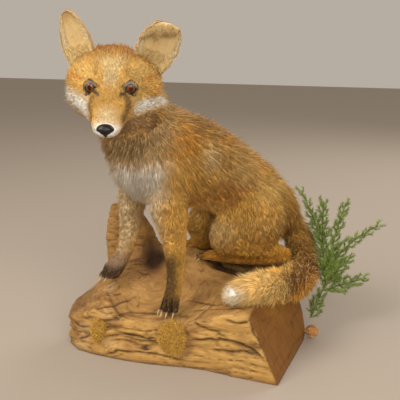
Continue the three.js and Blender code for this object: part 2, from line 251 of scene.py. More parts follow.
def near_eye(head_points, reach):
    return np.linalg.norm(both_sides(head_points) - EYE_AT, axis=1) < reach


def from_nose(head_points):
    """How far off the nose pad's middle, where 1 is the pad's own surface."""
    return np.linalg.norm((head_points - NOSE_AT) / NOSE_RADII, axis=1)


print("head frame: muzzle", head_x.round(3), "nose pad", to_head(middle_of("nose_pad")).round(1))

# %% [markdown]
# ## How the coat lies
#
# A fox's hair grows back from the nose, over the brow and round the cheeks, down the neck and along the
# body, and down the legs. Groomers call this the lie. Each stroke below gives a place, the way the hair
# points there, how deep the coat stands over the skin, and how long the hair is. Strokes belong to the
# part they are drawn on, so a leg's strokes never comb the belly beside it, and between strokes the lie
# is blended.

# %% Strokes of the comb, part by part
def strokes(rows):
    """Strokes from rows of numbers: the place, the way the hair points, the coat's depth, its length."""
    return [(row[:3], row[3:6], row[6], row[7]) for row in rows]


def strokes_down(line):
    """Strokes along a limb, each pointing at the next place: x, y, z, depth, length."""
    ends = [*line[1:], None]
    made = []
    for here, there in zip(line, ends):
        way = np.subtract(there[:3], here[:3]) if there else made[-1][1]
        made.append((here[:3], way, here[3], here[4]))
    return made


LIE = {
    "trunk": strokes([
        (-40, -66, 392, 0.3, 0.5, -0.8, 13, 30), (-12, -40, 386, 0.42, 0.7, -0.55, 13, 30),
        (20, 0, 372, 0.45, 0.72, -0.55, 12, 28), (55, 50, 335, 0.5, 0.65, -0.6, 12, 28),
        (100, 100, 285, 0.45, 0.5, -0.75, 12, 28), (138, 130, 220, 0.3, 0.15, -0.95, 13, 30),
        (20, -100, 345, 0.28, 0.12, -0.95, 12, 26), (30, -75, 320, 0.38, 0.25, -0.9, 12, 26),
        (10, -115, 300, 0.1, -0.02, -1, 10, 22), (45, -50, 300, 0.45, 0.38, -0.8, 12, 26),
        (68, 0, 300, 0.5, 0.45, -0.78, 12, 26), (48, -10, 250, 0.45, 0.35, -0.7, 11, 22),
        (90, 40, 275, 0.4, 0.3, -0.85, 12, 24), (118, 70, 235, 0.2, 0.05, -1, 12, 24),
        (10, 10, 228, 0.45, 0.5, -0.2, 9, 20), (-62, -128, 310, 0.05, -0.1, -1, 12, 28),
        (-45, -118, 270, 0.1, 0.1, -1, 11, 26), (-20, -60, 240, 0.2, 0.6, -0.4, 8, 18),
        (-95, -60, 330, -0.05, 0.2, -1, 12, 26), (-70, 0, 320, 0.2, 0.5, -0.85, 12, 26),
        (-30, 70, 300, 0.3, 0.6, -0.75, 12, 26), (20, 130, 250, 0.35, 0.4, -0.85, 12, 26),
        (80, 165, 200, 0.4, 0.2, -0.9, 12, 28),
    ]),
    "neck": strokes([
        (-60, -50, 430, 0.15, 0.45, -0.9, 13, 28), (-25, -75, 400, 0.3, 0.3, -0.9, 13, 28),
        (-20, -115, 385, 0.2, 0, -1, 12, 26), (-35, -130, 350, 0.08, -0.05, -1, 12, 28),
        (-75, -135, 350, 0, -0.1, -1, 12, 28), (-105, -95, 370, -0.1, 0.05, -1, 12, 26),
        (-95, -60, 400, -0.05, 0.35, -0.95, 13, 28),
    ]),
    "foreleg_left": strokes_down([
        (-15, -78, 300, 9, 20), (-10, -84, 265, 7, 17), (-5, -87, 235, 5, 13), (0, -90, 205, 4, 10),
        (5, -93, 170, 3, 7), (6, -98, 140, 2.5, 6), (5, -106, 114, 2, 6), (2, -118, 96, 1.6, 6),
        (0, -132, 88, 1.6, 6),
    ]),
    "foreleg_right": strokes_down([
        (-80, -48, 285, 9, 20), (-87, -50, 250, 7, 17), (-92, -53, 220, 5, 13), (-95, -55, 190, 4, 10),
        (-100, -60, 165, 3, 7), (-106, -70, 145, 2.5, 6), (-114, -82, 132, 2, 6), (-126, -98, 124, 1.6, 6),
    ]),
    "hindleg_left": strokes([
        (85, 20, 240, 0.1, -0.05, -1, 10, 22), (60, 10, 215, -0.1, -0.2, -1, 9, 20),
        (110, 50, 210, 0.1, 0, -1, 10, 22), (40, 10, 190, -0.2, -0.25, -1, 7, 16),
        (70, 10, 175, 0.2, 0, -1, 7, 16), (100, 45, 160, 0.6, 0.4, -0.6, 6, 14),
        (40, 25, 152, 0.3, 0.1, -0.7, 5, 12), (134, 92, 138, -0.3, -0.3, -0.6, 3.5, 9),
        (95, 62, 128, -0.8, -0.45, 0, 3, 8), (45, 42, 132, -0.85, -0.4, 0, 2.5, 7),
        (5, 28, 136, -0.9, -0.4, -0.1, 1.8, 6),
    ]),
    "hindleg_right": strokes([
        (-10, 110, 240, 0, 0.1, -1, 10, 22), (-30, 80, 190, -0.25, -0.25, -1, 7, 16),
        (20, 150, 200, 0.1, 0.2, -1, 9, 20), (30, 120, 160, 0.6, 0.4, -0.6, 6, 14),
        (80, 150, 136, -0.3, -0.2, -0.6, 3.5, 9), (40, 128, 128, -0.85, -0.45, 0, 3, 8),
        (-50, 84, 136, -0.9, -0.4, -0.1, 1.8, 6),
    ]),
    "tail_base": strokes_down([
        (114, 150, 190, 12, 30), (130, 164, 160, 12, 32), (144, 160, 126, 12, 34), (152, 140, 110, 12, 34),
    ]),
    "tail_middle": strokes_down([
        (152, 134, 110, 12, 34), (158, 84, 102, 12, 36), (153, 32, 108, 12, 38), (141, -18, 118, 12, 38),
    ]),
    "tail_tip": strokes_down([
        (132, -40, 122, 12, 38), (123, -58, 126, 12, 38), (108, -84, 127, 11, 36), (94, -106, 122, 8, 34),
    ]),
}
print(sum(len(made) for made in LIE.values()), "strokes on the body")

# %% Strokes on the head, in the head's own frame
HEAD_LIE_MIDDLE = strokes([
    (76, 0, -12, -1, 0, 0.3, 0.8, 3), (55, 0, -8, -1, 0, 0.12, 1.2, 4), (30, 0, -1, -1, 0, 0.25, 2, 6),
    (10, 0, 8, -0.8, 0, 0.6, 2.5, 8), (-15, 0, 30, -0.5, 0, 0.9, 4, 12),
    (-45, 0, 52, -0.9, 0, 0.45, 6, 15), (-75, 0, 45, -0.9, 0, -0.3, 9, 20),
    (-98, 0, 0, -0.3, 0, -1, 12, 26), (75, 0, -42, -0.7, 0, -0.6, 1, 4), (50, 0, -48, -1, 0, -0.2, 3, 9),
    (15, 0, -60, -1, 0, -0.3, 6, 16),
])
HEAD_LIE_LEFT = strokes([
    (60, 18, -22, -1, 0.12, -0.2, 1.2, 4), (40, 24, -24, -1, 0.2, -0.2, 2, 6),
    (68, 14, -34, -0.8, 0.15, -0.6, 1.2, 4), (20, 18, -2, -0.9, 0.3, 0.15, 2, 6),
    (8, 25, 14, -0.6, 0.3, 0.7, 2, 6), (-4, 40, 8, -0.7, 0.7, 0.3, 2.5, 8),
    (-15, 25, 32, -0.5, 0.35, 0.8, 4, 11), (-30, 52, 20, -0.7, 0.6, 0.35, 5, 12),
    (8, 30, -16, -0.9, 0.5, -0.2, 2, 6), (15, 36, -26, -0.9, 0.55, -0.25, 3, 10),
    (-2, 48, -22, -0.8, 0.65, -0.25, 5, 14), (-22, 62, -22, -0.7, 0.6, -0.4, 8, 20),
    (-10, 54, -48, -0.6, 0.4, -0.8, 8, 20), (-40, 66, -50, -0.5, 0.35, -0.85, 11, 26),
    (-60, 60, -5, -0.8, 0.4, -0.5, 9, 22), (30, 22, -46, -0.9, 0.2, -0.4, 4, 12),
    (-75, 50, 20, -0.8, 0.2, -0.6, 10, 24),
])
head_strokes = HEAD_LIE_MIDDLE
for place, way, depth, length in HEAD_LIE_LEFT:
    for side in (1, -1):
        flip = np.array((1, side, 1))
        head_strokes.append((np.array(place) * flip, np.array(way) * flip, depth, length))
LIE["head"] = [(from_head(place) / MM, head_way(way), *sizes) for place, way, *sizes in head_strokes]
print(len(head_strokes), "strokes on the head")

# %% [markdown]
# ## One skin
#
# The CAD parts show the outline to the tips of the hair. The skin lies inside it by the coat's depth and
# has no seams, so the parts are joined, turned into one closed surface of small voxels, and each point
# is drawn inwards by the depth that the strokes give there. A second remesh clears up the places where
# the surface folded on the way in.

# %% Join the flesh and remesh it
FLESH = ("trunk", "neck", "head", "foreleg_left", "foreleg_right", "hindleg_left", "hindleg_right",
         "tail_base", "tail_middle", "tail_tip")
FILLERS = ("eye_left", "eye_right", "nose_pad")
COARSE_VOXEL = 2.6
FINE_VOXEL = 2.56


def joined(meshes, merge=False):
    """One mesh from several, with their colours kept. Points that meet become one if merge is set."""
    shape = bmesh.new()
    for mesh in meshes:
        shape.from_mesh(mesh)
    if merge:
        bmesh.ops.remove_doubles(shape, verts=shape.verts, dist=1e-6)
    whole = bpy.data.meshes.new("joined")
    shape.to_mesh(whole)
    shape.free()
    return whole


def join_nodes(*nodes):
    return joined([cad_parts[node].data for node in nodes], merge=True)


def mesh_made_by(work):
    """The plain mesh that an object's modifiers make."""
    return bpy.data.meshes.new_from_object(work.evaluated_get(bpy.context.evaluated_depsgraph_get()))


def with_modifiers(mesh, *settings):
    """Applies modifiers, each given as its type and a dictionary of its values, and returns a new mesh."""
    work = in_scene("work", mesh)
    for kind, values in settings:
        modifier = work.modifiers.new(kind.lower(), kind)
        for key, value in values.items():
            setattr(modifier, key, value)
    result = mesh_made_by(work)
    bpy.data.objects.remove(work)
    return result


def remeshed(mesh, voxel, smoothing=0):
    """One closed surface of small voxels, smoothed and smooth-shaded where smoothing rounds are given."""
    remesh = {"mode": "VOXEL", "voxel_size": voxel * MM, "use_smooth_shade": smoothing > 0}
    smooth = [("SMOOTH", {"factor": 0.5, "iterations": smoothing})] if smoothing else []
    return with_modifiers(mesh, ("REMESH", remesh), *smooth)


def largest_island(mesh):
    """Drops the small bubbles that a remesh can leave inside a closed form."""
    shape = bmesh.new()
    shape.from_mesh(mesh)
    unseen, islands = set(shape.verts), []
    while unseen:
        front = [unseen.pop()]
        island = list(front)
        while front:
            for edge in front.pop().link_edges:
                for vertex in edge.verts:
                    if vertex in unseen:
                        unseen.discard(vertex)
                        front.append(vertex)
                        island.append(vertex)
        islands.append(island)
    islands.sort(key=len)
    for island in islands[:-1]:
        bmesh.ops.delete(shape, geom=island, context="VERTS")
    shape.to_mesh(mesh)
    shape.free()
    return mesh


def smoothed_over(mesh, values, rounds, share=1.0):
    """Values at a mesh's points, each drawn towards the mean of its neighbours, round after round."""
    a, b = read_array(mesh.edges, "vertices", 2, np.int32).T
    size = len(mesh.vertices)
    count = np.maximum(np.bincount(a, minlength=size) + np.bincount(b, minlength=size), 1)
    columns = [column.copy() for column in np.atleast_2d(np.asarray(values, float).T)]
    for column in columns:
        for _ in range(rounds):
            around = np.bincount(a, column[b], size) + np.bincount(b, column[a], size)
            column += 0.6 * share * (around / count - column)
    return np.stack(columns, axis=1)


CROWN, CROWN_RADII = (-70, 0, 30), (45, 72, 40)
hull = largest_island(remeshed(join_nodes(*FLESH, *FILLERS), COARSE_VOXEL, 6))
at_crown = np.linalg.norm((to_head(points_of(hull)) - CROWN) / CROWN_RADII, axis=1)
put_points(hull, smoothed_over(hull, points_of(hull), 16, ease(1.2, 0.8, at_crown)))
print("outer hull:", len(hull.vertices), "points")

# %% [markdown]
# Each point of the hull belongs to the CAD parts near it. The weights fall off over a few millimetres,
# so that colour, hair length and the lie all change smoothly from one part to the next.

# %% Which part each point belongs to, and the coat there
BLEND_REACH = 9.0
STROKE_REACH = 30.0


def tree_from(mesh):
    return BVHTree.FromPolygons([v.co for v in mesh.vertices], [tuple(p.vertices) for p in mesh.polygons])


tree_of = {node: tree_from(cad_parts[node].data) for node in FLESH}
HEAD, NECK = FLESH.index("head"), FLESH.index("neck")
HEAD_MIDDLE, HEAD_RADII = (-15, 0, -5), (104, 80, 66)


def part_weights(points):
    far = BLEND_REACH * 3.5 * MM
    weights = np.zeros((len(points), len(FLESH)))
    for column, node in enumerate(FLESH):
        find = tree_of[node].find_nearest
        for row, point in enumerate(points):
            distance = find(point, far)[3]
            if distance is not None:
                weights[row, column] = math.exp(-(distance / MM / BLEND_REACH) ** 2)
    weights /= np.maximum(weights.sum(1, keepdims=True), 1e-9)
    within = ease(1.14, 0.97, np.linalg.norm((to_head(points) - HEAD_MIDDLE) / HEAD_RADII, axis=1))
    weights *= 1 - within[:, None]
    weights[:, HEAD] += within
    return weights


def groom(points, weights):
    """The coat at each point: the way it lies, its depth and its length, in millimetres."""
    way = np.zeros((len(points), 3))
    sizes = np.zeros((len(points), 2))
    for column, node in enumerate(FLESH):
        near = np.where(weights[:, column] > 0.01)[0]
        if not len(near):
            continue
        places = np.array([place for place, _, _, _ in LIE[node]], float)
        ways = unit([way for _, way, _, _ in LIE[node]])
        values = np.array([(depth, length) for _, _, depth, length in LIE[node]], float)
        gap = np.linalg.norm(points[near, None] / MM - places[None], axis=2)
        reach = STROKE_REACH * (0.45 if node == "head" else 1.0)
        pull = np.exp(-(gap / reach) ** 2) + 1e-12 / (1 + gap)
        pull /= pull.sum(1, keepdims=True)
        way[near] += (pull @ ways) * weights[near, column:column + 1]
        sizes[near] += (pull @ values) * weights[near, column:column + 1]
    return unit(way), sizes[:, 0], sizes[:, 1]


hull_points = points_of(hull)
hull_weights = part_weights(hull_points)
hull_way, hull_depth, hull_length = groom(hull_points, hull_weights)
hull_depth = smoothed_over(hull, hull_depth, 25)[:, 0]
print("coat depth", hull_depth.min().round(1), "to", hull_depth.max().round(1), "mm")

# %% Draw the hull in to the skin
DRAW_STEPS = 6


def eased_in(mesh, depth):
    """Moves the surface inwards a little at a time, smoothing between, so that creases don't fold over."""
    for step in range(DRAW_STEPS):
        put_points(mesh, points_of(mesh) - normals_of(mesh) * depth[:, None] / DRAW_STEPS * MM)
        mesh = with_modifiers(mesh, ("SMOOTH", {"factor": 0.5, "iterations": 2}))
    return mesh


skin_mesh = largest_island(remeshed(eased_in(hull.copy(), hull_depth), FINE_VOXEL, 3))
print("skin:", len(skin_mesh.vertices), "points")

# %% [markdown]
# ## The face
#
# A voxel surface is too coarse for a face, so the faces there are cut finer first. Then each feature is
# one small move of the points round it: the lids are drawn over the eyeball as an almond-shaped slit,
# the mouth is a groove along the lip, and the bridge and the brow are raised a little.

# %% Cut the face finer
def cut_finer(mesh, chosen):
    """Splits the faces whose middle points pass the test into four."""
    shape = bmesh.new()
    shape.from_mesh(mesh)
    middles = np.array([face.calc_center_median() for face in shape.faces])
    wanted = chosen(middles)
    edges = {edge for face, want in zip(list(shape.faces), wanted) if want for edge in face.edges}
    bmesh.ops.subdivide_edges(shape, edges=list(edges), cuts=1, use_grid_fill=True, smooth=0.4)
    bmesh.ops.triangulate(shape, faces=[face for face in shape.faces if len(face.verts) > 4])
    shape.to_mesh(mesh)
    shape.free()
    return mesh


def on_face(points):
    h = to_head(points)
    return (h[:, 0] > -22) & (np.abs(h[:, 1]) < 50) & (h[:, 2] > -62) & (h[:, 2] < 36)


cut_finer(skin_mesh, on_face)
cut_finer(skin_mesh, lambda points: near_eye(to_head(points), 19))
print("skin with a finer face:", len(skin_mesh.vertices), "points")

# %% [markdown]
# The eyeball sits in the head and the lids lie on it. Seen along the gaze, the slit is an almond: two
# arcs that meet at the corners, with the outer corner higher, as in every fox. Points outside the slit
# are moved to the lid's thickness off the ball, and points inside it sink behind the ball's face.

# %% Lids, brow, mouth
GAZE_OUT, GAZE_UP = 12.0, 10.0
SLIT_HALF_WIDTH = 8.6
SLIT_UPPER, SLIT_LOWER = 6.6, 6.0
SLIT_SLANT = 0.16
LID = 1.6
LID_BAND = 2.6
LID_FADE = 9.0


def gaze_frame(side):
    """The gaze, the way outwards from the nose, and up, as head directions."""
    out, up = math.radians(GAZE_OUT), math.radians(GAZE_UP)
    gaze = np.array((math.cos(out) * math.cos(up), side * math.sin(out) * math.cos(up), math.sin(up)))
    outward = unit(np.cross(gaze, (0, 0, 1))) * -side
    return gaze, outward, unit(np.cross(outward, gaze) * side)


def slit_distance(head_points, side):
    """How far outside the slit a point is, in millimetres over the eyeball, and its place across it."""
    centre = eye_centre(side)
    gaze, outward, upward = gaze_frame(side)
    ray = unit(head_points - centre)
    forward = ray @ gaze
    across = EYE_RADIUS * np.arctan2(ray @ outward, np.maximum(forward, 0.05))
    height = EYE_RADIUS * np.arctan2(ray @ upward, np.maximum(forward, 0.05)) - SLIT_SLANT * across
    bow = 1 - (across / SLIT_HALF_WIDTH) ** 2
    outside = np.maximum(height - SLIT_UPPER * bow, -SLIT_LOWER * bow - height)
    outside = np.maximum(outside, np.abs(across) - SLIT_HALF_WIDTH)
    return outside, across, height, forward


def shape_lids(head_points, side):
    centre = eye_centre(side)
    outside, across, height, forward = slit_distance(head_points, side)
    away = np.linalg.norm(head_points - centre, axis=1)
    near = (forward > 0.1) & (away < 19)
    crease = 0.7 * np.exp(-((outside - 4.2) / 1.0) ** 2) * (height > 0)
    lid = EYE_RADIUS + LID * ease(-0.3, 0.7, outside) - 1.6 * ease(0.4, -0.5, outside)
    target = mix(lid, np.maximum(away, EYE_RADIUS + 1.4), ease(LID_BAND, LID_FADE, outside)) - crease
    moved = centre + unit(head_points - centre) * target[:, None]
    head_points[near] = moved[near]
    return head_points


MOUTH = [(78, 1, -36), (76, 9, -36), (71, 16, -33), (66, 20.5, -27), (55, 23, -25.5), (40, 25, -29),
         (27, 27.5, -34), (10, 38, -38), (-3, 53, -36)]
MOUTH_DEPTH, MOUTH_WIDTH = 2.6, 1.7
JAW_EDGE = [(60, 10, -50), (34, 16, -58), (19, 24, -65), (18, 35, -63), (11, 48.7, -55), (4, 64, -61)]
JAW_DEPTH, JAW_WIDTH = 6.0, 6.5
LIP_FURROW = [(86, 0, -26), (84, 0, -31), (81, 0, -36)]
TEAR_DUCT = [(6, 20, -6), (14, 17, -4), (21, 14.5, -3)]


def along_line(points, line):
    """The distance from each point to a bent line, and how far along the line the nearest place is."""
    best = np.full(len(points), 1e9)
    share = np.zeros(len(points))
    line = np.array(line, float)
    for k, (a, b) in enumerate(zip(line[:-1], line[1:])):
        t = np.clip(((points - a) @ (b - a)) / ((b - a) @ (b - a)), 0, 1)
        gap = np.linalg.norm(points - a - t[:, None] * (b - a), axis=1)
        closer = gap < best
        best[closer] = gap[closer]
        share[closer] = (k + t[closer]) / (len(line) - 1)
    return best, share


def ditch(points, line, depth, width):
    return depth * np.exp(-(along_line(points, line)[0] / width) ** 2)


def mound(points, middle, radii, height):
    return height * np.exp(-(((points - np.array(middle, float)) / radii) ** 2).sum(1))


head_points = to_head(points_of(skin_mesh))
head_normals = normals_of(skin_mesh) @ HEAD_AXES.T
paired = both_sides(head_points)
relief = -ditch(paired, MOUTH, MOUTH_DEPTH, MOUTH_WIDTH) - ditch(paired, JAW_EDGE, JAW_DEPTH, JAW_WIDTH)
relief -= ditch(head_points, LIP_FURROW, 1.6, 1.2) + ditch(paired, TEAR_DUCT, 0.8, 2.2)
relief += mound(paired, (70, 12, -24), (12, 8, 7), 1.0) + mound(paired, (14, 34, -50), (20, 18, 9), 2.5)
relief += mound(paired, (-8, 22, 12), (12, 12, 8), 1.5) + mound(paired, (-5, 46, -26), (22, 12, 8), 1.5)
relief -= mound(head_points, (4, 0, 10), (18, 5, 16), 1.4)
relief += mound(paired, (-30, 60, 10), (26, 20, 22), 5.0)
head_points += head_normals * relief[:, None]
head_points[:, 0] -= 4.5 * ease(1.05, 0.7, from_nose(head_points))
for side in (1, -1):
    head_points = shape_lids(head_points, side)
put_points(skin_mesh, from_head(head_points))
around_lids = np.zeros(len(head_points))
for side in (1, -1):
    outside = slit_distance(head_points, side)[0]
    around_lids = np.maximum(around_lids, ease(2.0, 4.0, outside) * near_eye(head_points, 19))
put_points(skin_mesh, smoothed_over(skin_mesh, points_of(skin_mesh), 5, around_lids))
mouth_length = 2 * np.linalg.norm(np.diff(MOUTH, axis=0), axis=1).sum()
print("lids drawn over both eyes; mouth", round(mouth_length), "mm long")

# %% [markdown]
# ## Toes
#
# Each paw has four toes, and the two in the middle reach further. A remesh melts them together, so the
# paws are cut finer and three furrows are pressed in from above and in front, where toes meet. The hair
# there is only a few millimetres long, so the furrows stay visible through it.

# %% Press the furrows between the toes
PAWS = [
    ((1, -116, 93), 12, 40), ((-121, -91, 125), 40, 34),
    ((-1, 28, 136), 66, 24), ((-54, 82, 135), 62, 24),
]
TOE_SPREAD, TOE_REACH, TOE_ADVANCE = 9.2, 10.0, (-5, 0, 0, -5)
FURROW_DEPTH, FURROW_WIDTH = 4.6, 1.7


def paw_axes(heading):
    turn = math.radians(-90 - heading)
    return np.array((math.cos(turn), math.sin(turn), 0)), np.array((-math.sin(turn), math.cos(turn), 0))


def in_paw(points, at, heading):
    """Places in a paw's own directions, ahead, across and up, in millimetres, and 1 on its toes."""
    ahead, across = paw_axes(heading)
    off = points / MM - np.array(at)
    local = table(off @ ahead, off @ across, off[:, 2])
    toes = ease(-14, -2, local[:, 0]) * ease(30, 22, np.abs(local[:, 1])) * ease(24, 17, np.abs(local[:, 2]))
    return local, toes * (local[:, 0] < 26)


def between_toes(local):
    return sum(np.exp(-((local[:, 1] - place) / FURROW_WIDTH) ** 2) for place in (-TOE_SPREAD, 0, TOE_SPREAD))


for at, heading, drop in PAWS:
    cut_finer(skin_mesh, lambda points: in_paw(points, at, heading)[1] > 0)
skin_points, skin_normals = points_of(skin_mesh), normals_of(skin_mesh)
for at, heading, drop in PAWS:
    local, toes = in_paw(skin_points, at, heading)
    skin_points -= skin_normals * (FURROW_DEPTH * MM * toes * between_toes(local))[:, None]
put_points(skin_mesh, skin_points)
print("skin with toes:", len(skin_points), "points")
# %% [markdown]
# ## The coat's markings
#
# Skin and coat carry the same colours, so where the hair parts, the skin below agrees with it. The
# colours are laid on like a painter's glazes: a ground colour for each part, then soft blobs in the
# body's own places, each one a mask from 0 to 1. A fox is rust and gold above, white and cream on cheek,
# throat and chest, dark on the feet and the backs of the ears, with a pale tip to its tail.

# %% Colours and masks
def linear(red, green, blue):
    channels = np.array((red, green, blue)) / 255
    return np.where(channels > 0.04045, ((channels + 0.055) / 1.055) ** 2.4, channels / 12.92)


RUST = linear(196, 120, 28)
ORANGE = linear(158, 100, 24)
GOLD = linear(222, 172, 84)
BRIGHT_GOLD = linear(234, 198, 122)
TAN = linear(218, 166, 68)
GRIZZLE = linear(226, 198, 140)
CREAM = linear(236, 216, 172)
WHITE = linear(252, 248, 240)
GREY_BROWN = linear(176, 145, 104)
BROWN = linear(128, 82, 32)
DARK = linear(66, 38, 15)
INK = linear(30, 25, 22)
EYE_RIM = linear(52, 46, 44)
LID_BLUE = linear(150, 152, 160)


def blob(points, centre, radii, softness=0.6):
    away = np.linalg.norm((points - np.array(centre, float)) / np.array(radii, float), axis=1)
    return 1 - ease(1 - softness, 1 + softness, away)


def glaze(base, colour, mask, strength=1.0):
    return base + (colour - base) * (np.clip(mask, 0, 1) * strength)[:, None]


def glazed(base, *coats):
    """Several glazes over each other, each a colour, its mask and its strength."""
    for coat in coats:
        base = glaze(base, *coat)
    return base


def twin(head_points, centre, radii, softness=0.6):
    """One blob on each cheek."""
    return blob(both_sides(head_points), centre, radii, softness)


def stripe(points, line, core, edge):
    """1 along a bent line, falling to 0 from core to edge millimetres away."""
    return ease(edge, core, along_line(points, line)[0])


def paint_body(p, colour):
    """p is in the body's millimetres."""
    x, y, z = p.T
    high = z + 0.55 * y
    return glazed(colour,
        (TAN, np.ones(len(p))),
        (RUST, ease(300, 372, high), 0.65),
        (BROWN, ease(335, 390, high), 0.6),
        (GOLD, blob(p, (14, -108, 316), (34, 30, 44)), 0.75),
        (BROWN, blob(p, (18, -60, 384), (40, 60, 24)), 0.55),
        (CREAM, blob(p, (42, -54, 336), (17, 20, 18), 0.9), 0.75),
        (GRIZZLE, blob(p, (70, 10, 300), (40, 50, 34), 0.9), 0.45),
        (BRIGHT_GOLD, blob(p, (108, 62, 264), (24, 34, 20), 0.9), 0.75),
        (BROWN, blob(p, (134, 100, 225), (26, 34, 46), 0.9), 0.7),
        (GOLD, blob(p, (38, -40, 262), (38, 40, 22), 0.9), 0.6),
        (RUST, blob(p, (60, -5, 270), (40, 30, 22), 0.9), 0.4),
        (GOLD, blob(p, (0, 30, 222), (40, 60, 20), 0.9), 0.7))


def paint_chest(p, colour):
    x, y, z = p.T
    front = ease(-52, -96, y) * ease(6, -24, x)
    return glazed(colour,
        (WHITE, front * ease(356, 322, z), 0.95),
        (GREY_BROWN, front * ease(322, 356, z), 0.9),
        # Painted shadow: the throat is darkened where the lowered head shades it.
        (DARK, blob(p, (-50, -140, 366), (40, 30, 16), 0.8), 0.75))


def paint_neck(p, colour):
    return glazed(colour,
        (GOLD, blob(p, (-4, -96, 388), (24, 26, 26), 0.8), 0.8),
        (RUST, blob(p, (10, -90, 360), (30, 24, 24), 0.8), 0.5),
        (GREY_BROWN, blob(p, (-24, -132, 384), (24, 20, 22), 0.8), 0.8),
        (BROWN, blob(p, (-24, -50, 420), (50, 34, 26), 0.8), 0.55))


def paint_legs(p, colour, part):
    x, y, z = p.T
    left_leg, right_leg = part["foreleg_left"], part["foreleg_right"]
    low = part["foreleg_left"] * ease(196, 168, z)
    inner = ease(24, 4, x + 0.5 * (y + 100))
    hind = part["hindleg_left"] + part["hindleg_right"]
    return glazed(colour,
        (GOLD, left_leg, 0.8),
        (CREAM, left_leg * ease(-6, -24, x) * ease(170, 215, z), 0.7),
        (DARK, low * inner * ease(-84, -96, y + 0.07 * (150 - z)), 0.85),
        (TAN, low * (1 - inner) * ease(104, 122, z), 0.7),
        (CREAM, part["foreleg_right"] * ease(165, 195, z), 0.5),
        (GREY_BROWN, part["foreleg_right"] * ease(-84, -74, x), 0.6),
        (BROWN, part["foreleg_right"] * ease(180, 150, z), 0.75),
        (DARK, part["foreleg_right"] * ease(150, 134, z), 0.95),
        (DARK, left_leg * ease(122, 106, z), 0.95),
        (GRIZZLE, hind * ease(165, 200, z), 0.25),
        (CREAM, hind * blob(p, (30, 14, 190), (26, 30, 26), 0.8), 0.35),
        (RUST, hind * ease(156, 138, z), 0.5),
        (BROWN, hind * ease(134, 124, z), 0.4),
        (DARK, hind * ease(60, 20, x) * ease(146, 136, z), 0.25))


def paint_tail(p, colour, part):
    x, y, z = p.T
    tail = part["tail_base"] + part["tail_middle"] + part["tail_tip"]
    outer = ease(146, 166, x) * ease(-40, 10, y)
    return glazed(colour,
        (TAN, tail, 0.9),
        (BROWN, tail * outer * ease(90, 106, z), 0.9),
        (BROWN, tail * ease(106, 124, z) * ease(50, 90, y), 0.8),
        (DARK, tail * outer * ease(100, 118, z), 0.4),
        (RUST, tail * outer * ease(118, 96, z), 0.3),
        (GRIZZLE, tail * ease(40, -30, y), 0.45),
        (WHITE, tail * ease(-62, -92, y), 0.95))


def under_lip(h):
    """1 on the lower jaw: below the line of the mouth and above the throat."""
    line = np.array(MOUTH[::-1], float)
    edge = np.array(JAW_EDGE[::-1], float)
    below = ease(-0.5, 2.5, np.interp(h[:, 0], line[:, 0], line[:, 2]) - h[:, 2])
    return below * ease(-4, 3, h[:, 2] - np.interp(h[:, 0], edge[:, 0], edge[:, 2])) * ease(-14, -2, h[:, 0])


STREAK = [(17, 22, -8), (28, 26, -15), (42, 25, -18), (54, 22.5, -20)]
TEMPLE_STREAK = [(-18, 40, 2), (-26, 50, 2), (-33, 60, 1)]
BROW_MARK = [(-11, 20, 6), (-18, 20, 13), (-26, 19, 20)]


def paint_forehead(h, face):
    x, y, z = h.T
    blaze = ease(1.2, 0.5, np.abs(y) / (7 + 0.55 * np.maximum(z, 0)))
    blaze = blaze * ease(2, 9, z) * ease(29, 20, z) * ease(-62, -48, x)
    return glazed(face,
        (BRIGHT_GOLD, twin(h, (-16, 38, 12), (22, 20, 16), 0.9), 0.6),
        (ORANGE, blob(h, (-62, 0, 34), (30, 60, 18), 0.8), 0.95),
        (RUST, blob(h, (-58, 4, 32), (20, 36, 12), 0.9), 0.6),
        (GRIZZLE, blaze, 0.95),
        (BROWN, stripe(both_sides(h), BROW_MARK, 0.8, 3.6), 0.45),
        (RUST, stripe(both_sides(h), TEMPLE_STREAK, 1.5, 6.0), 0.5))


def paint_muzzle(h, face, left, right):
    paired = both_sides(h)
    return glazed(face,
        (CREAM, blob(h, (4, 0, 4), (16, 9, 9), 0.8), 0.6),
        (GOLD, blob(h, (32, 0, -3), (30, 14, 13), 0.7), 0.9),
        (CREAM, blob(h, (64, 0, -10), (18, 15, 8), 0.9), 0.85),
        (BROWN, stripe(paired, STREAK, 2.5, 9) * left, 0.85),
        (DARK, stripe(paired, STREAK[1:], 0.5, 5) * left, 0.3),
        (BROWN, stripe(paired, STREAK, 1.5, 8) * right, 0.75),
        (WHITE, blob(h, (76, 0, -28), (15, 24, 12), 0.5), 0.97))


def paint_cheeks(h, face, left, right):
    cheek_left = [(12, 33, -27), (-4, 44, -27), (-20, 54, -30), (-34, 62, -34)]
    cheek_right = [(12, 33, -28), (-4, 48, -28), (-20, 60, -26), (-36, 68, -24)]
    paired = both_sides(h)
    return glazed(face,
        (BRIGHT_GOLD, twin(h, (6, 34, -16), (14, 10, 6), 0.9), 0.7),
        (WHITE, stripe(paired, cheek_left, 2, 13) * left, 0.85),
        (WHITE, stripe(paired, cheek_right, 6, 22) * right, 0.88),
        (CREAM, twin(h, (-44, 64, -46), (24, 18, 22), 0.8) * right, 0.85),
        (DARK, twin(h, (-4, 49, -36), (8, 7, 3.4), 0.9) * right, 0.6))


def paint_jaw(h, face, left, right):
    paired = both_sides(h)
    jaw = under_lip(h)
    throat = blob(h, (20, 4, -68), (60, 40, 12), 0.7) * (1 - jaw)
    return glazed(face,
        (linear(158, 120, 76), jaw * left, 0.95),
        (CREAM, jaw * right, 0.9),
        (BROWN, stripe(paired, [(-4, 60, -46), (-20, 68, -50)], 6, 16) * left, 0.5),
        (GREY_BROWN, throat, 0.8),
        # Painted shadow: the dark band along the jaw's lower edge is the shade under the jaw, laid over the
        # groove carved there.
        (DARK, stripe(paired, JAW_EDGE, 2.5, 9), 0.85),
        (linear(54, 34, 22), stripe(paired, MOUTH, 0.9, 2.6) * (h[:, 0] < 74), 0.9),
        (INK, stripe(h, LIP_FURROW, 0.9, 1.8), 0.95))


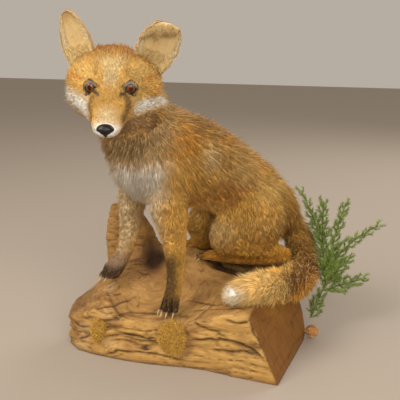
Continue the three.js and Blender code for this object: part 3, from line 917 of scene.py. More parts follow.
def paint_lids(h, face):
    face = glaze(face, EYE_RIM, stripe(both_sides(h), TEAR_DUCT, 1.6, 3.6), 0.9)
    for side in (1, -1):
        outside, across, height, forward = slit_distance(h, side)
        near = np.linalg.norm(h - eye_centre(side), axis=1) < 16
        open_side = near & (forward > 0.15)
        face = glazed(face,
            (DARK, ease(7.0, 3.8, outside) * open_side, 0.7),
            (EYE_RIM, ease(5.0, 3.4, outside) * open_side, 0.95),
            (LID_BLUE, ease(4.2, 2.4, outside) * ease(0, -3, height) * open_side, 0.5),
            (INK, ease(4.0, 2.6, outside) * ease(-1, 2, height) * open_side, 0.8),
            (INK, ease(1.1, 0.4, outside) * open_side, 0.9))
    return face


def paint_head(h, colour, head):
    """h is in the head's own millimetres, head is its weight."""
    left, right = ease(-4, 4, h[:, 1]), ease(4, -4, h[:, 1])
    face = glaze(colour, GOLD, np.ones(len(h)))
    face = paint_forehead(h, face)
    face = paint_muzzle(h, face, left, right)
    face = paint_cheeks(h, face, left, right)
    face = paint_jaw(h, face, left, right)
    face = paint_lids(h, face)
    return mix(colour, face, head[:, None])


def markings(points, weights):
    p, h = points / MM, to_head(points)
    part = dict(zip(FLESH, weights.T))
    colour = np.zeros((len(points), 3))
    colour = paint_body(p, colour)
    colour = paint_neck(p, colour)
    colour = paint_chest(p, colour)
    colour = paint_legs(p, colour, part)
    colour = paint_tail(p, colour, part)
    colour = paint_head(h, colour, part["head"])
    # Painted shade: the furrows between the toes are darkened with ink.
    for at, heading, drop in PAWS:
        local, toes = in_paw(points, at, heading)
        colour = glaze(colour, INK, toes * np.clip(between_toes(local), 0, 1), 0.7)
    mottle = 1 + 0.10 * wander(points, 0.014, 3) + 0.08 * wander(points, 0.005, 4)
    return np.clip(colour * mottle[:, None], 0, 1)


skin_points = points_of(skin_mesh)
nearest_hull = nearest_in(tree_of_points(hull_points), skin_points)
skin_weights = hull_weights[nearest_hull]
colour_points(skin_mesh, markings(skin_points, skin_weights))
print("skin painted; mean colour", markings(skin_points[::50], skin_weights[::50]).mean(0).round(3))

# %% [markdown]
# Hair and skin share one finish: the marking read from the mesh, made a little uneven by fine noise, on
# a rough surface with a faint sheen, since light catches the side of each hair.

# %% The coat's material
def adder(tree):
    """Short ways to add a node to a tree and to fill its sockets from values or from other nodes' outputs."""
    def fill(node, sockets):
        for label, value in sockets.items():
            socket = node.inputs[int(label[1:])] if label[0] == "_" else node.inputs[label.replace("_", " ")]
            if isinstance(value, bpy.types.NodeSocket):
                tree.links.new(value, socket)
            else:
                socket.default_value = value
        return node

    def add(kind, settings=(), **sockets):
        node = tree.nodes.new(kind)
        for key, value in dict(settings).items():
            setattr(node, key, value)
        return fill(node, sockets)

    return add, fill


def material_of(name, look=None, **surface):
    """A material whose surface takes values, and what a look function builds in front of it."""
    material = bpy.data.materials.new(name)
    material.use_nodes = True
    add, fill = adder(material.node_tree)
    built = look(add) if look else {}
    fill(material.node_tree.nodes["Principled BSDF"], {**built, **surface})
    return material


def read_points(add, name="marking", output="Color"):
    """What was left on the mesh's points under a name."""
    return add("ShaderNodeAttribute", {"attribute_name": name}).outputs[output]


def pattern(add, kind, scale, **values):
    """A pattern that is fixed to the object."""
    place = add("ShaderNodeTexCoord").outputs["Object"]
    return add("ShaderNodeTex" + kind, Vector=place, Scale=scale, **values).outputs


def tinted(add, blend, share, under, over):
    return add("ShaderNodeMix", {"data_type": "RGBA", "blend_type": blend}, Factor=share, A=under,
               B=over).outputs["Result"]


def relief_of(add, strength, distance, height):
    return add("ShaderNodeBump", Strength=strength, Distance=distance, Height=height).outputs["Normal"]


def hair_look(add):
    speck = pattern(add, "Noise", 900, Detail=2)["Fac"]
    lift = add("ShaderNodeMapRange", Value=speck, To_Min=0.78, To_Max=1.22).outputs["Result"]
    return {"Base_Color": tinted(add, "MULTIPLY", 1.0, read_points(add), lift)}


COAT_LIGHT = {
    "Specular_IOR_Level": 0.25, "Specular_Tint": (1.0, 0.82, 0.58, 1), "Sheen_Roughness": 0.5,
    "Sheen_Tint": (1.0, 0.78, 0.48, 1),
}
hair_finish = material_of("hair", hair_look, Roughness=0.62, Sheen_Weight=0.14, **COAT_LIGHT)
skin_finish = material_of("skin_under_coat", hair_look, Roughness=0.7, Sheen_Weight=0.1, **COAT_LIGHT)

# %% [markdown]
# ## The ears
#
# A fox's ear is a thin cupped leaf. Its inside is pale and nearly bare in the middle, with creases that
# run from the root to the rim, and its back is furred. Each is a closed shell of two sheets, laid along
# the same root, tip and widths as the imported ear, and it is joined to the skin's own mesh. The left ear
# dried with its outer rim bent forwards, so its edge is ragged.

# %% Ear shells
EARS = {
    "right": {"root": (-50, -44, 8), "tip": (-66, -66, 84), "faces": (1, -0.25, 0.1), "round_from": 0.86,
              "widths": (18, 22, 24, 24, 20.5, 15, 8), "seed": 20, "ragged": 0.015},
    "left": {"root": (-50, 50, 4), "tip": (-58, 80, 70), "faces": (1, 0.3, 0.1), "round_from": 0.97,
             "widths": (21, 26, 29, 31, 31, 27, 17), "seed": 40, "ragged": 0.05},
}
EAR_CUP = 11
EAR_BURIED = -0.16
EAR_ROWS, EAR_COLUMNS = 56, 44


def ear_axes(ear):
    root, tip = np.array(ear["root"], float), np.array(ear["tip"], float)
    along = unit(tip - root)
    across = unit(np.cross(along, ear["faces"]))
    return root, tip, across, unit(np.cross(along, across))


def ear_half_width(ear, s):
    """The widths, joined by a smooth curve and rounded off towards the tip."""
    places = np.linspace(0, 1, len(ear["widths"]))
    shifts = np.linspace(-0.11, 0.11, 15)
    width = np.mean([np.interp(np.clip(s + shift, 0, 1), places, ear["widths"]) for shift in shifts], axis=0)
    end = np.clip((s - ear["round_from"]) / (1 - ear["round_from"]), 0, 1)
    return width * np.sqrt(np.clip(1 - end ** 2, 0.01, 1))


def ear_sheet(name, s, t, depth):
    """Points of one side of an ear: s runs from root to tip, t across from -1 to 1."""
    ear = EARS[name]
    root, tip, across, back = ear_axes(ear)
    cup = EAR_CUP * (1 - 0.5 * s) * (1 - t * t)
    fan = table(t * 2.6, s * 0.5, 0 * s)
    creases = 1.1 * wander(fan, 0.24, ear["seed"]) * ease(0.1, 0.5, s) * (1 - 0.5 * np.abs(t))
    hem = 1 + ear["ragged"] * wander(table(s * 9, np.sign(t), 0 * s), 0.8, ear["seed"] + 3)
    place = root + s[:, None] * (tip - root)
    place += across * (ear_half_width(ear, s) * hem * np.sin(t * np.pi / 2) * 0.985)[:, None]
    edge = 1 - 0.78 * t ** 4
    return place + back * (0.9 + cup + creases + depth * edge)[:, None]


def shell_faces(rows, columns):
    """Faces of a closed shell: a front grid of points, a rear grid, and the border between them."""
    number = np.arange(rows * columns).reshape(rows, columns)
    front = np.stack([number[:-1, :-1], number[:-1, 1:], number[1:, 1:], number[1:, :-1]], axis=-1)
    front = front.reshape(-1, 4)
    rim = np.concatenate([number[0, :], number[1:, -1], number[-1, -2::-1], number[-2:0:-1, 0]])
    after = np.roll(rim, -1)
    border = table(after, rim, rim + number.size, after + number.size)
    return np.concatenate([front, front[:, ::-1] + number.size, border])


def sheet_places(rows, columns, start=0.0):
    s, t = np.meshgrid(np.linspace(start, 1, rows), np.linspace(-1, 1, columns), indexing="ij")
    return s.ravel(), t.ravel()


ear_meshes = []
for name in EARS:
    s, t = sheet_places(EAR_ROWS, EAR_COLUMNS, EAR_BURIED)
    points = from_head(np.concatenate([ear_sheet(name, s, t, 0), ear_sheet(name, s, t, 2.6)]))
    ear_meshes.append(mesh_from("ear_" + name, points, shell_faces(EAR_ROWS, EAR_COLUMNS)))
print("ear shells:", [len(mesh.vertices) for mesh in ear_meshes], "points")

# %% The bent rim of the left ear
FLAP_EDGE = [(-55, 40, 57), (-57, 50, 68), (-59, 62, 74), (-60, 72, 75), (-62, 82, 72), (-66, 93, 64)]
FLAP_DROP = [5, 11, 17, 18, 15, 8]
FLAP_FORWARD = [2, 6, 8, 8, 7, 5]
FLAP_ROWS, FLAP_COLUMNS = 14, 44


def flap_sheet(u, v, thickness):
    """The rim that fell forwards: u runs along the ear's edge and v from the bend down to the hem."""
    places = np.linspace(0, 1, len(FLAP_EDGE))
    edge = np.stack([np.interp(u, places, [p[k] for p in FLAP_EDGE]) for k in range(3)], axis=1)
    drop = np.interp(u, places, FLAP_DROP) * (1 + 0.34 * wander(table(u * 9, 0 * u, 0 * u), 0.9, 52))
    forward = np.interp(u, places, FLAP_FORWARD) * np.sin(np.pi * (0.12 + 0.62 * v))
    ripple = 0.9 * wander(table(u * 14, v, 0 * u), 1.2, 53) * v
    root, tip, across, back = ear_axes(EARS["left"])
    down = -unit(tip - root)
    return edge + down * (drop * v ** 0.85)[:, None] - back * (forward + ripple - thickness)[:, None]


u, v = sheet_places(FLAP_ROWS, FLAP_COLUMNS)
u, v = (v + 1) / 2, u
points = from_head(np.concatenate([flap_sheet(u, v, 0), flap_sheet(u, v, 1.3)]))
flap_mesh = mesh_from("ear_flap", points, shell_faces(FLAP_ROWS, FLAP_COLUMNS))
ear_meshes.append(facing(flap_mesh, FLAP_ROWS * FLAP_COLUMNS // 2, head_x))

# %% Join the ears to the skin's mesh
def ear_colours(s, t):
    """Cream inside with a paler rim, tan and brown behind."""
    inside = np.tile(linear(208, 182, 130), (len(s), 1))
    streaks = wander(table(t * 3.4, s * 0.6, 0 * s), 0.16, 61)
    inside = glazed(inside,
        (linear(196, 156, 96), ease(0.0, 0.8, streaks) * ease(0.95, 0.3, np.abs(t)), 0.5),
        (linear(188, 140, 82), ease(0.45, 0.0, s) * (t > -0.7), 0.6),
        (linear(204, 160, 96), ease(0.7, 0.95, s) * ease(0.9, 0.5, np.abs(t)), 0.5),
        (linear(240, 216, 190), ease(0.86, 0.97, np.abs(t)) * ease(1.0, 0.9, s), 0.9))
    outside = np.tile(linear(190, 144, 88), (len(s), 1))
    outside = glazed(outside,
        (BROWN, ease(0.35, 0.9, s) * ease(0.95, 0.6, np.abs(t)), 0.7),
        (linear(240, 216, 190), ease(0.86, 0.97, np.abs(t)), 0.9))
    return np.concatenate([inside, outside])


def flap_colours(u, v):
    front = np.tile(linear(222, 194, 140), (len(u), 1))
    front = glazed(front,
        (linear(200, 156, 98), ease(-0.2, 0.7, wander(table(u * 16, v, 0 * u), 1.0, 62)), 0.4),
        (linear(242, 222, 200), ease(0.8, 1.0, v), 0.8))
    # Painted shade: the flap's side towards the ear is darkened for the shade under the fold.
    return np.concatenate([front, glaze(front, linear(90, 62, 40), np.ones(len(u)), 0.75)])


s, t = sheet_places(EAR_ROWS, EAR_COLUMNS, EAR_BURIED)
for mesh in ear_meshes[:2]:
    colour_points(mesh, ear_colours(s, t))
colour_points(flap_mesh, flap_colours(u, v))
skin_shown = smooth_shaded(joined([skin_mesh, *ear_meshes]))
piece("skin", skin_shown, skin_finish, "coat", *FLESH, "ear_left", "ear_right")

# %% [markdown]
# ## The coat
#
# Particle hair would be lost when the model is exported, so each lock is a small closed spindle: a root
# point sunk in the skin, three points round its widest place, and a tip. Two steps over the skin give
# its bend, so locks follow the body round. Neighbours lean towards the tip of a leading lock, which
# gathers them into the wisps that dry fur makes.

# %% Fields of the coat on the skin
skin_normals = normals_of(skin_mesh)
skin_way, skin_depth, skin_length = (field[nearest_hull] for field in (hull_way, hull_depth, hull_length))
skin_tree = tree_of_points(skin_points)


def nearest_skin(points):
    return nearest_in(skin_tree, points)


def along_skin(points, number):
    """The points moved onto the skin's tangent plane at the numbered skin points."""
    off = ((points - skin_points[number]) * skin_normals[number]).sum(1, keepdims=True)
    return points - off * skin_normals[number]


def tangent(number, jitter):
    way = skin_way[number] + jitter
    normal = skin_normals[number]
    return unit(way - normal * (way * normal).sum(1, keepdims=True))


# %% Where locks grow
FACE_LIMIT = -34
DENSITY = 1.0
COAT_PIECES = {
    "coat_face": 30000, "coat_crown_and_cheeks": 26000, "coat_neck": 18000, "coat_chest_and_shoulder": 24000,
    "coat_flank": 26000, "coat_rump": 22000, "coat_forelegs": 20000, "coat_hindlegs": 24000,
    "coat_tail": 20000,
}


def coat_piece_of(points, weights):
    """The number of the coat piece that each place belongs to."""
    strongest = weights.argmax(1)
    names = list(COAT_PIECES)
    number = np.zeros(len(points), int)
    along_body = (points / MM) @ unit((0.45, 0.70, -0.55))
    for column, node in enumerate(FLESH):
        here = strongest == column
        if node == "head":
            number[here] = np.where(to_head(points[here])[:, 0] > FACE_LIMIT, 0, 1)
        elif node == "neck":
            number[here] = names.index("coat_neck")
        elif node == "trunk":
            along = along_body[here]
            number[here] = names.index("coat_chest_and_shoulder") + (along > -195) + (along > -95)
        else:
            kind = {"forele": "coat_forelegs", "hindle": "coat_hindlegs"}.get(node[:6], "coat_tail")
            number[here] = names.index(kind)
    return number


skin_mesh.calc_loop_triangles()
triangles = read_array(skin_mesh.loop_triangles, "vertices", 3, np.int32)
corners = skin_points[triangles]
triangle_middle = corners.mean(1)
edge_a, edge_b = corners[:, 1] - corners[:, 0], corners[:, 2] - corners[:, 0]
triangle_area = np.linalg.norm(np.cross(edge_a, edge_b), axis=1) / 2
triangle_weights = skin_weights[triangles[:, 0]]
triangle_piece = coat_piece_of(triangle_middle, triangle_weights)


def bare(points):
    """1 where no hair grows: the eyes' slits and the nose pad."""
    h = to_head(points)
    none = from_nose(h) < 1.03
    for side in (1, -1):
        outside, across, height, forward = slit_distance(h, side)
        near = np.linalg.norm(h - eye_centre(side), axis=1) < 16
        none |= (outside < 3.2) & (forward > 0.2) & near
    return none


crowding = triangle_area * (1 + 6 / (2 + skin_length[triangles[:, 0]]))
crowding[bare(triangle_middle)] = 0
for number, name in enumerate(COAT_PIECES):
    print(f"{name}: {1e4 * triangle_area[triangle_piece == number].sum():.0f} square cm")

# %% [markdown]
# Each lock carries its colour from root to tip. Roots are dark, because little light gets down there,
# and the outer half has the marking's colour. Single guard hairs end cream or near black, which gives
# the back of a fox its grizzled look, so a share of the locks get such tips by place.

# %% Grow one piece of the coat
TAIL = [FLESH.index(node) for node in ("tail_base", "tail_middle", "tail_tip")]
ROOT_SINK = 0.5
BEND_AT = 0.42
CLUMP_SIZE = 22
ROOT_SHADE = 0.38
PALE_TIP, DARK_TIP = linear(240, 214, 156), linear(52, 34, 20)


def grow_roots(number, count, rng):
    """Places and skin numbers of the locks of one piece, chosen by area, more densely where the hair is
    short.
    """
    mine = np.where(triangle_piece == number)[0]
    share = np.cumsum(crowding[mine])
    picks = (np.arange(count) + rng.random(count)) / count * share[-1]
    chosen = mine[np.minimum(np.searchsorted(share, picks), len(mine) - 1)]
    a, b = rng.random(count), rng.random(count)
    over = a + b > 1
    a[over], b[over] = 1 - a[over], 1 - b[over]
    at = table(1 - a - b, a, b)
    roots = (corners[chosen] * at[..., None]).sum(1)
    nearest = triangles[chosen, at.argmax(1)]
    return roots, nearest


def looseness(roots, nearest):
    """The share of locks that stand free of the rest: many on tail, chest and ruffs, none on the face."""
    h, weights = to_head(roots), skin_weights[nearest]
    tail = weights[:, TAIL].sum(1)
    head = weights[:, HEAD]
    ruff = blob(both_sides(h), (-30, 64, -32), (34, 26, 30), 0.6) * head
    chest = ease(-70, -110, roots[:, 1] / MM) * (weights[:, FLESH.index("trunk")] + weights[:, NECK])
    share = 0.07 + 0.55 * tail + 0.34 * ruff + 0.30 * chest
    return share * (1 - head * ease(-45, -10, h[:, 0]))


def lock_paths(roots, nearest, rng):
    count = len(roots)
    length = skin_length[nearest] * rng.uniform(0.72, 1.18, count) * MM
    depth = skin_depth[nearest] * rng.uniform(0.62, 1.04, count) * MM
    reach = np.sqrt(np.maximum(length ** 2 - depth ** 2, (0.35 * length) ** 2))
    jitter = rng.normal(0, 0.13, (count, 3))
    stray = rng.random(count) < 0.04
    jitter[stray] *= 2.2
    free = rng.random(count) < looseness(roots, nearest)
    length[free] *= 1.3
    depth[free] *= 2.0
    first = tangent(nearest, jitter)
    bend = roots + first * (BEND_AT * reach)[:, None]
    at_bend = nearest_skin(bend)
    second = tangent(at_bend, jitter)
    bend = along_skin(bend, at_bend)
    tip = bend + second * ((1 - BEND_AT) * reach)[:, None]
    at_tip = nearest_skin(tip)
    tip = along_skin(tip, at_tip)
    limit = np.where(free, depth, np.minimum(depth, skin_depth[at_tip] * 1.05 * MM))
    lift = 0.62 * np.minimum(depth, skin_depth[at_bend] * MM)
    bend = bend + skin_normals[at_bend] * lift[:, None]
    tip = tip + skin_normals[at_tip] * limit[:, None]
    return bend, tip, at_bend, length


def gather(roots, bend, tip, rng):
    """Leans each lock towards the nearest leading lock."""
    leaders = rng.choice(len(roots), max(1, len(roots) // CLUMP_SIZE), replace=False)
    leader = leaders[nearest_in(tree_of_points(roots[leaders]), roots)]
    pull = rng.uniform(0.2, 0.65, len(roots))[:, None]
    same = ((unit(tip - roots) * unit(tip[leader] - roots[leader])).sum(1) > 0.6)[:, None]
    bend = np.where(same, mix(bend, bend[leader] + 0.6 * (roots - roots[leader]), 0.35 * pull), bend)
    tip = np.where(same, mix(tip, tip[leader], pull), tip)
    return bend, tip, leader


def lock_mesh(name, roots, bend, tip, way_up, half_width, colours):
    """Closed spindles of five points and six faces each."""
    side = unit(np.cross(tip - roots, way_up))
    over = unit(np.cross(side, tip - roots))
    wide = half_width[:, None]
    points = np.stack([
        roots,
        bend + side * wide - over * wide * 0.25,
        bend - side * wide - over * wide * 0.25,
        bend + over * wide * 0.75,
        tip,
    ], axis=1).reshape(-1, 3)
    pattern = np.array([(0, 2, 1), (0, 3, 2), (0, 1, 3), (4, 1, 2), (4, 2, 3), (4, 3, 1)])
    faces = (5 * np.arange(len(roots))[:, None, None] + pattern[None]).reshape(-1, 3)
    mesh = mesh_from(name, points, faces)
    colour_points(mesh, colours.reshape(-1, 3))
    return mesh


def pale_and_dark(points, weights, rng):
    """The shares of locks with pale and with dark tips."""
    p, h = points / MM, to_head(points)
    trunk_like = weights[:, FLESH.index("trunk")] + weights[:, NECK]
    pale = 0.10 + 0.14 * trunk_like * ease(200, 300, p[:, 2])
    dark = 0.05 + 0.20 * trunk_like * ease(300, 370, p[:, 2] + 0.5 * p[:, 1])
    tail = weights[:, TAIL].sum(1)
    pale += 0.12 * tail
    dark += 0.16 * tail * ease(-90, -40, p[:, 1])
    head = weights[:, HEAD]
    pale += 0.25 * head * ease(8, 30, h[:, 2]) * ease(-52, -34, h[:, 0])
    draw = rng.random(len(points))
    return draw < pale, draw > 1 - dark


def lock_colours(roots, weights, leader, rng):
    base = markings(roots, weights)
    light = rng.uniform(0.78, 1.2, len(roots)) * rng.uniform(0.86, 1.14, len(roots))[leader]
    mid = base * light[:, None]
    tip = base * (light * 1.12)[:, None]
    pale, dark = (share.astype(float) for share in pale_and_dark(roots, weights, rng))
    tip = glazed(tip, (PALE_TIP, pale, 0.65), (DARK_TIP, dark, 0.75))
    mid = glazed(mid, (PALE_TIP, pale, 0.2), (DARK_TIP, dark, 0.2))
    return np.clip(table(base * ROOT_SHADE, mid, mid, mid, tip), 0, 1)


# %% [markdown]
# For export, every lock is also a small patch on a flat map, at the place where its root sits on an
# unwrap of the skin below. The unwrap is made on a coarse copy of the skin, one for each piece.

# %% The coat's map
MAP_PATCH, MAP_VOXEL = 0.003, 6.5


def unwrapped(number):
    """A coarse copy of the skin under one piece, unwrapped, as its tree, its corners and their map places."""
    coarse = remeshed(skin_mesh, MAP_VOXEL)
    shape = bmesh.new()
    shape.from_mesh(coarse)
    middles = np.array([face.calc_center_median() for face in shape.faces])
    middle_piece = coat_piece_of(middles, skin_weights[nearest_skin(middles)])
    others = [face for face, where in zip(list(shape.faces), middle_piece) if where != number]
    bmesh.ops.delete(shape, geom=others, context="FACES")
    bmesh.ops.triangulate(shape, faces=list(shape.faces))
    mesh = bpy.data.meshes.new("unwrap")
    shape.to_mesh(mesh)
    shape.free()
    work = in_scene("unwrap", mesh)
    bpy.context.view_layer.objects.active = work
    work.select_set(True)
    bpy.ops.object.mode_set(mode="EDIT")
    bpy.ops.mesh.select_all(action="SELECT")
    bpy.ops.uv.smart_project(angle_limit=math.radians(66), island_margin=0.004)
    bpy.ops.object.mode_set(mode="OBJECT")
    where = read_array(mesh.uv_layers.active.data, "uv", 2).reshape(-1, 3, 2).astype(float)
    shape_corners = points_of(mesh)[np.array([tuple(face.vertices) for face in mesh.polygons])]
    tree = tree_from(mesh)
    bpy.data.objects.remove(work)
    return tree, shape_corners, where


def map_places(roots, unwrap):
    tree, shape_corners, where = unwrap
    found = [tree.find_nearest(root) for root in roots]
    at = np.array([hit[0] for hit in found])
    face = np.array([hit[2] for hit in found])
    a, b, c = shape_corners[face].transpose(1, 0, 2)
    u, v, w = b - a, c - a, at - a
    uu, uv, vv, wu, wv = ((x * y).sum(1) for x, y in ((u, u), (u, v), (v, v), (w, u), (w, v)))
    spread = np.maximum(uu * vv - uv * uv, 1e-18)
    second, third = (vv * wu - uv * wv) / spread, (uu * wv - uv * wu) / spread
    share = np.clip(table(1 - second - third, second, third), 0, 1)
    return (where[face] * share[..., None]).sum(1)


def give_map(mesh, places):
    """Writes the OFBake map: root at the patch's foot, tip at its head, the wide place across it."""
    offsets = MAP_PATCH / 2 * np.array([(0, -1), (1, 0), (-1, 0), (0, 0.2), (0, 1)])
    at_points = np.clip(places[:, None] + offsets[None], 0.0005, 0.9995).reshape(-1, 2)
    loops = read_array(mesh.loops, "vertex_index", 1, np.int32)[:, 0]
    layer = mesh.uv_layers.new(name="OFBake")
    layer.data.foreach_set("uv", at_points[loops].astype(np.float32).ravel())


# %% Grow the whole coat
def half_widths(length, rng):
    return (0.16 + 0.020 * length / MM) * rng.uniform(0.75, 1.3, len(length)) * MM


LOCK_THIN = 1.0
for number, (name, count) in enumerate(COAT_PIECES.items()):
    rng = np.random.default_rng(100 + number)
    roots, nearest = grow_roots(number, int(count * DENSITY), rng)
    bend, tip, at_bend, length = lock_paths(roots, nearest, rng)
    bend, tip, leader = gather(roots, bend, tip, rng)
    colours = lock_colours(roots, skin_weights[nearest], leader, rng)
    sunk = roots - skin_normals[nearest] * ROOT_SINK * MM
    width = half_widths(length, rng) * LOCK_THIN
    mesh = lock_mesh(name, sunk, bend, tip, skin_normals[at_bend], width, colours)
    give_map(mesh, map_places(roots, unwrapped(number)))
    piece(name, mesh, hair_finish, "coat")


# %% [markdown]
# Ears have hair of their own: short hair behind, and a fringe of long cream hairs that grows inwards from
# the rim near the root. It is grown on the ear's sheets, where every place has its way to the tip.

# %% Hair on the ears
def ear_roots(name, count, rng, face):
    """Places on one side of an ear, the way to its tip, the way to its middle, and its normal."""
    s, t = rng.uniform(0.0, 0.985, count), rng.uniform(-0.97, 0.97, count)
    if face == "fringe":
        s, t = rng.uniform(0.0, 0.9, count), rng.choice([-1, 1], count) * rng.uniform(0.80, 0.985, count)
    if face == "base":
        s = -0.06 + 0.42 * rng.random(count) ** 1.4
    depth = 2.6 if face == "rear" else 0.0
    step = 0.01
    here = ear_sheet(name, s, t, depth)
    to_tip = unit(ear_sheet(name, s + step, t, depth) - here)
    to_middle = unit(ear_sheet(name, s, t - np.sign(t) * step, depth) - here)
    back = ear_axes(EARS[name])[3]
    normal = unit(np.cross(to_tip, to_middle))
    outward = back if face == "rear" else -back
    normal *= np.sign(normal @ outward)[:, None]
    return here, s, t, to_tip, to_middle, normal


EAR_HAIR = {
    "rear": {"locks": 4200, "mess": 0.15, "rise": 0.22, "tone": (214, 170, 100), "width": 0.30,
             "length": lambda s: 6.0 - 2.5 * s + 5 * ease(0.4, 0.0, s)},
    "front": {"locks": 2600, "mess": 0.25, "rise": 0.18, "tone": (226, 198, 148), "width": 0.16,
              "length": lambda s: 3.2},
    "fringe": {"locks": 1900, "mess": 0.2, "rise": 0.35, "tone": (240, 220, 176), "width": 0.24,
               "length": lambda s: 11 * ease(1.0, 0.1, s) + 3.5},
    "base": {"locks": 1700, "mess": 0.2, "rise": 0.42, "tone": (230, 202, 142), "width": 0.28,
             "length": lambda s: 12 - 14 * np.maximum(s, 0)},
}
FLAP_LOCKS = 1600


def ear_locks(here, way, length, normal, rises, base, root_shade, width, places):
    """What lock_mesh needs for hairs in the head's own frame, and their places on the map."""
    length = length[:, None]
    bend = here + way * (0.45 * length) + normal * (rises[0] * length)
    tip = here + way * length + normal * (rises[1] * length)
    colours = np.clip(table(base * root_shade, base, base, base, base * 1.05), 0, 1)
    return [from_head(here - normal * 0.3), from_head(bend), from_head(tip), head_way(normal),
            np.full(len(here), width * MM) * LOCK_THIN, colours, places]


def ear_hair(face, hair, seed):
    rng, count = np.random.default_rng(seed), int(hair["locks"] * DENSITY)
    parts = []
    for name in EARS:
        here, s, t, to_tip, to_middle, normal = ear_roots(name, count, rng, face)
        length = rng.uniform(0.7, 1.2, count) * hair["length"](s)
        inwards = 0.9 * (face == "fringe") * to_middle
        way = unit(to_tip + inwards + rng.normal(0, hair["mess"], (count, 3)))
        base = np.tile(linear(*hair["tone"]), (count, 1)) * rng.uniform(0.75, 1.15, count)[:, None]
        if face == "rear":
            base = glaze(base, BROWN, ease(0.35, 0.9, s) * ease(0.8, 0.3, np.abs(t)), 0.7)
        rises = (0.5 * hair["rise"], hair["rise"])
        parts.append(ear_locks(here, way, length, normal, rises, base, 0.72, hair["width"], table(s, t)))
    return [np.concatenate(column) for column in zip(*parts)]


def flap_hair(count, seed):
    """Hair on the bent rim, lying from the bend towards the hem."""
    rng = np.random.default_rng(seed)
    u, v = rng.uniform(0.0, 0.99, count), rng.uniform(0.0, 0.98, count)
    here = flap_sheet(u, v, 0)
    to_hem = unit(flap_sheet(u, v + 0.01, 0) - here)
    normal = unit(np.cross(to_hem, flap_sheet(u + 0.005, v, 0) - here))
    normal *= np.sign(-(normal @ ear_axes(EARS["left"])[3]))[:, None]
    length = rng.uniform(3.5, 8.0, count)
    way = unit(to_hem + rng.normal(0, 0.28, (count, 3)))
    base = np.tile(linear(226, 196, 138), (count, 1)) * rng.uniform(0.7, 1.15, count)[:, None]
    return ear_locks(here, way, length, normal, (0.16, 0.12), base, 0.6, 0.2, table(v, u))


grown_hair = [ear_hair(face, hair, 300 + k) for k, (face, hair) in enumerate(EAR_HAIR.items())]
grown_hair.append(flap_hair(int(FLAP_LOCKS * DENSITY), 310))
roots, bend, tip, normal, width, colours, places = (np.concatenate(column) for column in zip(*grown_hair))
ear_hair_mesh = lock_mesh("coat_ears", roots, bend, tip, normal, width, colours)
in_map = table(0.25 + 0.22 * places[:, 1], 0.02 + 0.96 * places[:, 0])
in_map[:, 0] += 0.5 * (to_head(roots)[:, 1] > 0)
give_map(ear_hair_mesh, in_map)
piece("coat_ears", ear_hair_mesh, hair_finish, "coat_pale")

# %% [markdown]
# ## Eyes
#
# A mount's eyes are glass, with the iris painted behind a clear bulging front. Here the ball itself
# carries the iris as rings round the gaze, and a clear coat over it gives the wet highlight. A fox's
# pupil is an upright slit, wide open in a mount.

# %% Glass eyes
IRIS, PUPIL = 6.3, 3.0
CORNEA = 0.35


def ball_points(centre, radius, rows, columns, gaze, outward, upward):
    """A ball whose pole looks along the gaze."""
    turn = np.linspace(0, 2 * np.pi, columns, endpoint=False)
    tilt = np.linspace(0, np.pi, rows + 2)[1:-1]
    tilt_grid, turn_grid = np.meshgrid(tilt, turn, indexing="ij")
    local = np.stack([np.cos(tilt_grid), np.sin(tilt_grid) * np.cos(turn_grid),
                      np.sin(tilt_grid) * np.sin(turn_grid)], axis=-1).reshape(-1, 3)
    local = np.concatenate([[(1, 0, 0)], local, [(-1, 0, 0)]])
    rise = CORNEA * ease(0.72, 0.96, local[:, 0])
    return centre + (local * (radius + rise)[:, None]) @ np.stack([gaze, outward, upward]), local


def ball_faces(rows, columns):
    number = 1 + np.arange(rows * columns).reshape(rows, columns)
    after = np.roll(number, -1, axis=1)
    sides = np.stack([number[:-1], number[1:], after[1:], after[:-1]], axis=-1).reshape(-1, 4)
    front = table(0 * number[0], number[0], after[0])
    last = 0 * number[-1] + rows * columns + 1
    rear = table(number[-1], last, after[-1])
    quads = np.concatenate([sides[:, [0, 1, 2]], sides[:, [0, 2, 3]]])
    return np.concatenate([front, quads, rear])


def eye_colours(local):
    """Rings round the gaze: pupil, iris with its streaks, dark edge, and the ball's dark glass."""
    away = EYE_RADIUS * np.arccos(np.clip(local[:, 0], -1, 1))
    turn = np.arctan2(local[:, 2], local[:, 1])
    upright = np.hypot(local[:, 1] * 1.25, local[:, 2] * 0.80) * EYE_RADIUS
    streak = wander(table(np.cos(turn) * 9, np.sin(turn) * 9, away * 0.25), 0.9, 33)
    colour = np.tile(linear(112, 54, 14), (len(local), 1))
    colour = glaze(colour, linear(160, 90, 28), ease(PUPIL + 0.6, IRIS - 1.0, away), 0.6)
    colour *= (1 + 0.25 * streak)[:, None]
    colour = glazed(colour,
        (linear(24, 14, 9), ease(IRIS - 1.2, IRIS, away), 1.0),
        (linear(34, 6, 3), ease(PUPIL + 0.6, PUPIL - 0.3, upright), 1.0))
    return np.clip(colour, 0, 1)


eye_material = material_of("eye_glass", lambda add: {"Base_Color": read_points(add)}, Roughness=0.35,
                           Specular_IOR_Level=0.1, Coat_Weight=0.8, Coat_Roughness=0.02, Coat_IOR=1.45)
for name, side in (("left", 1), ("right", -1)):
    rows, columns = 40, 64
    centre = eye_centre(side)
    points, local = ball_points(centre, EYE_RADIUS - 0.25, rows, columns, *gaze_frame(side))
    eye_mesh = mesh_from("glass_eye_" + name, from_head(points), ball_faces(rows, columns))
    eye_mesh = facing(eye_mesh, 0, head_way(gaze_frame(side)[0]))
    colour_points(eye_mesh, eye_colours(local))
    piece("glass_eye_" + name, eye_mesh, eye_material, "eye_glass", "eye_" + name)

# %% [markdown]
# ## Nose pad
#
# The nose is bare leather with a pebbled grain. It is wider above than below, two comma-shaped nostrils
# open to the front and the sides, and a furrow runs down the middle to the lip. A ball is pressed into
# that form point by point, because each of these is one smooth bump or hollow on it.

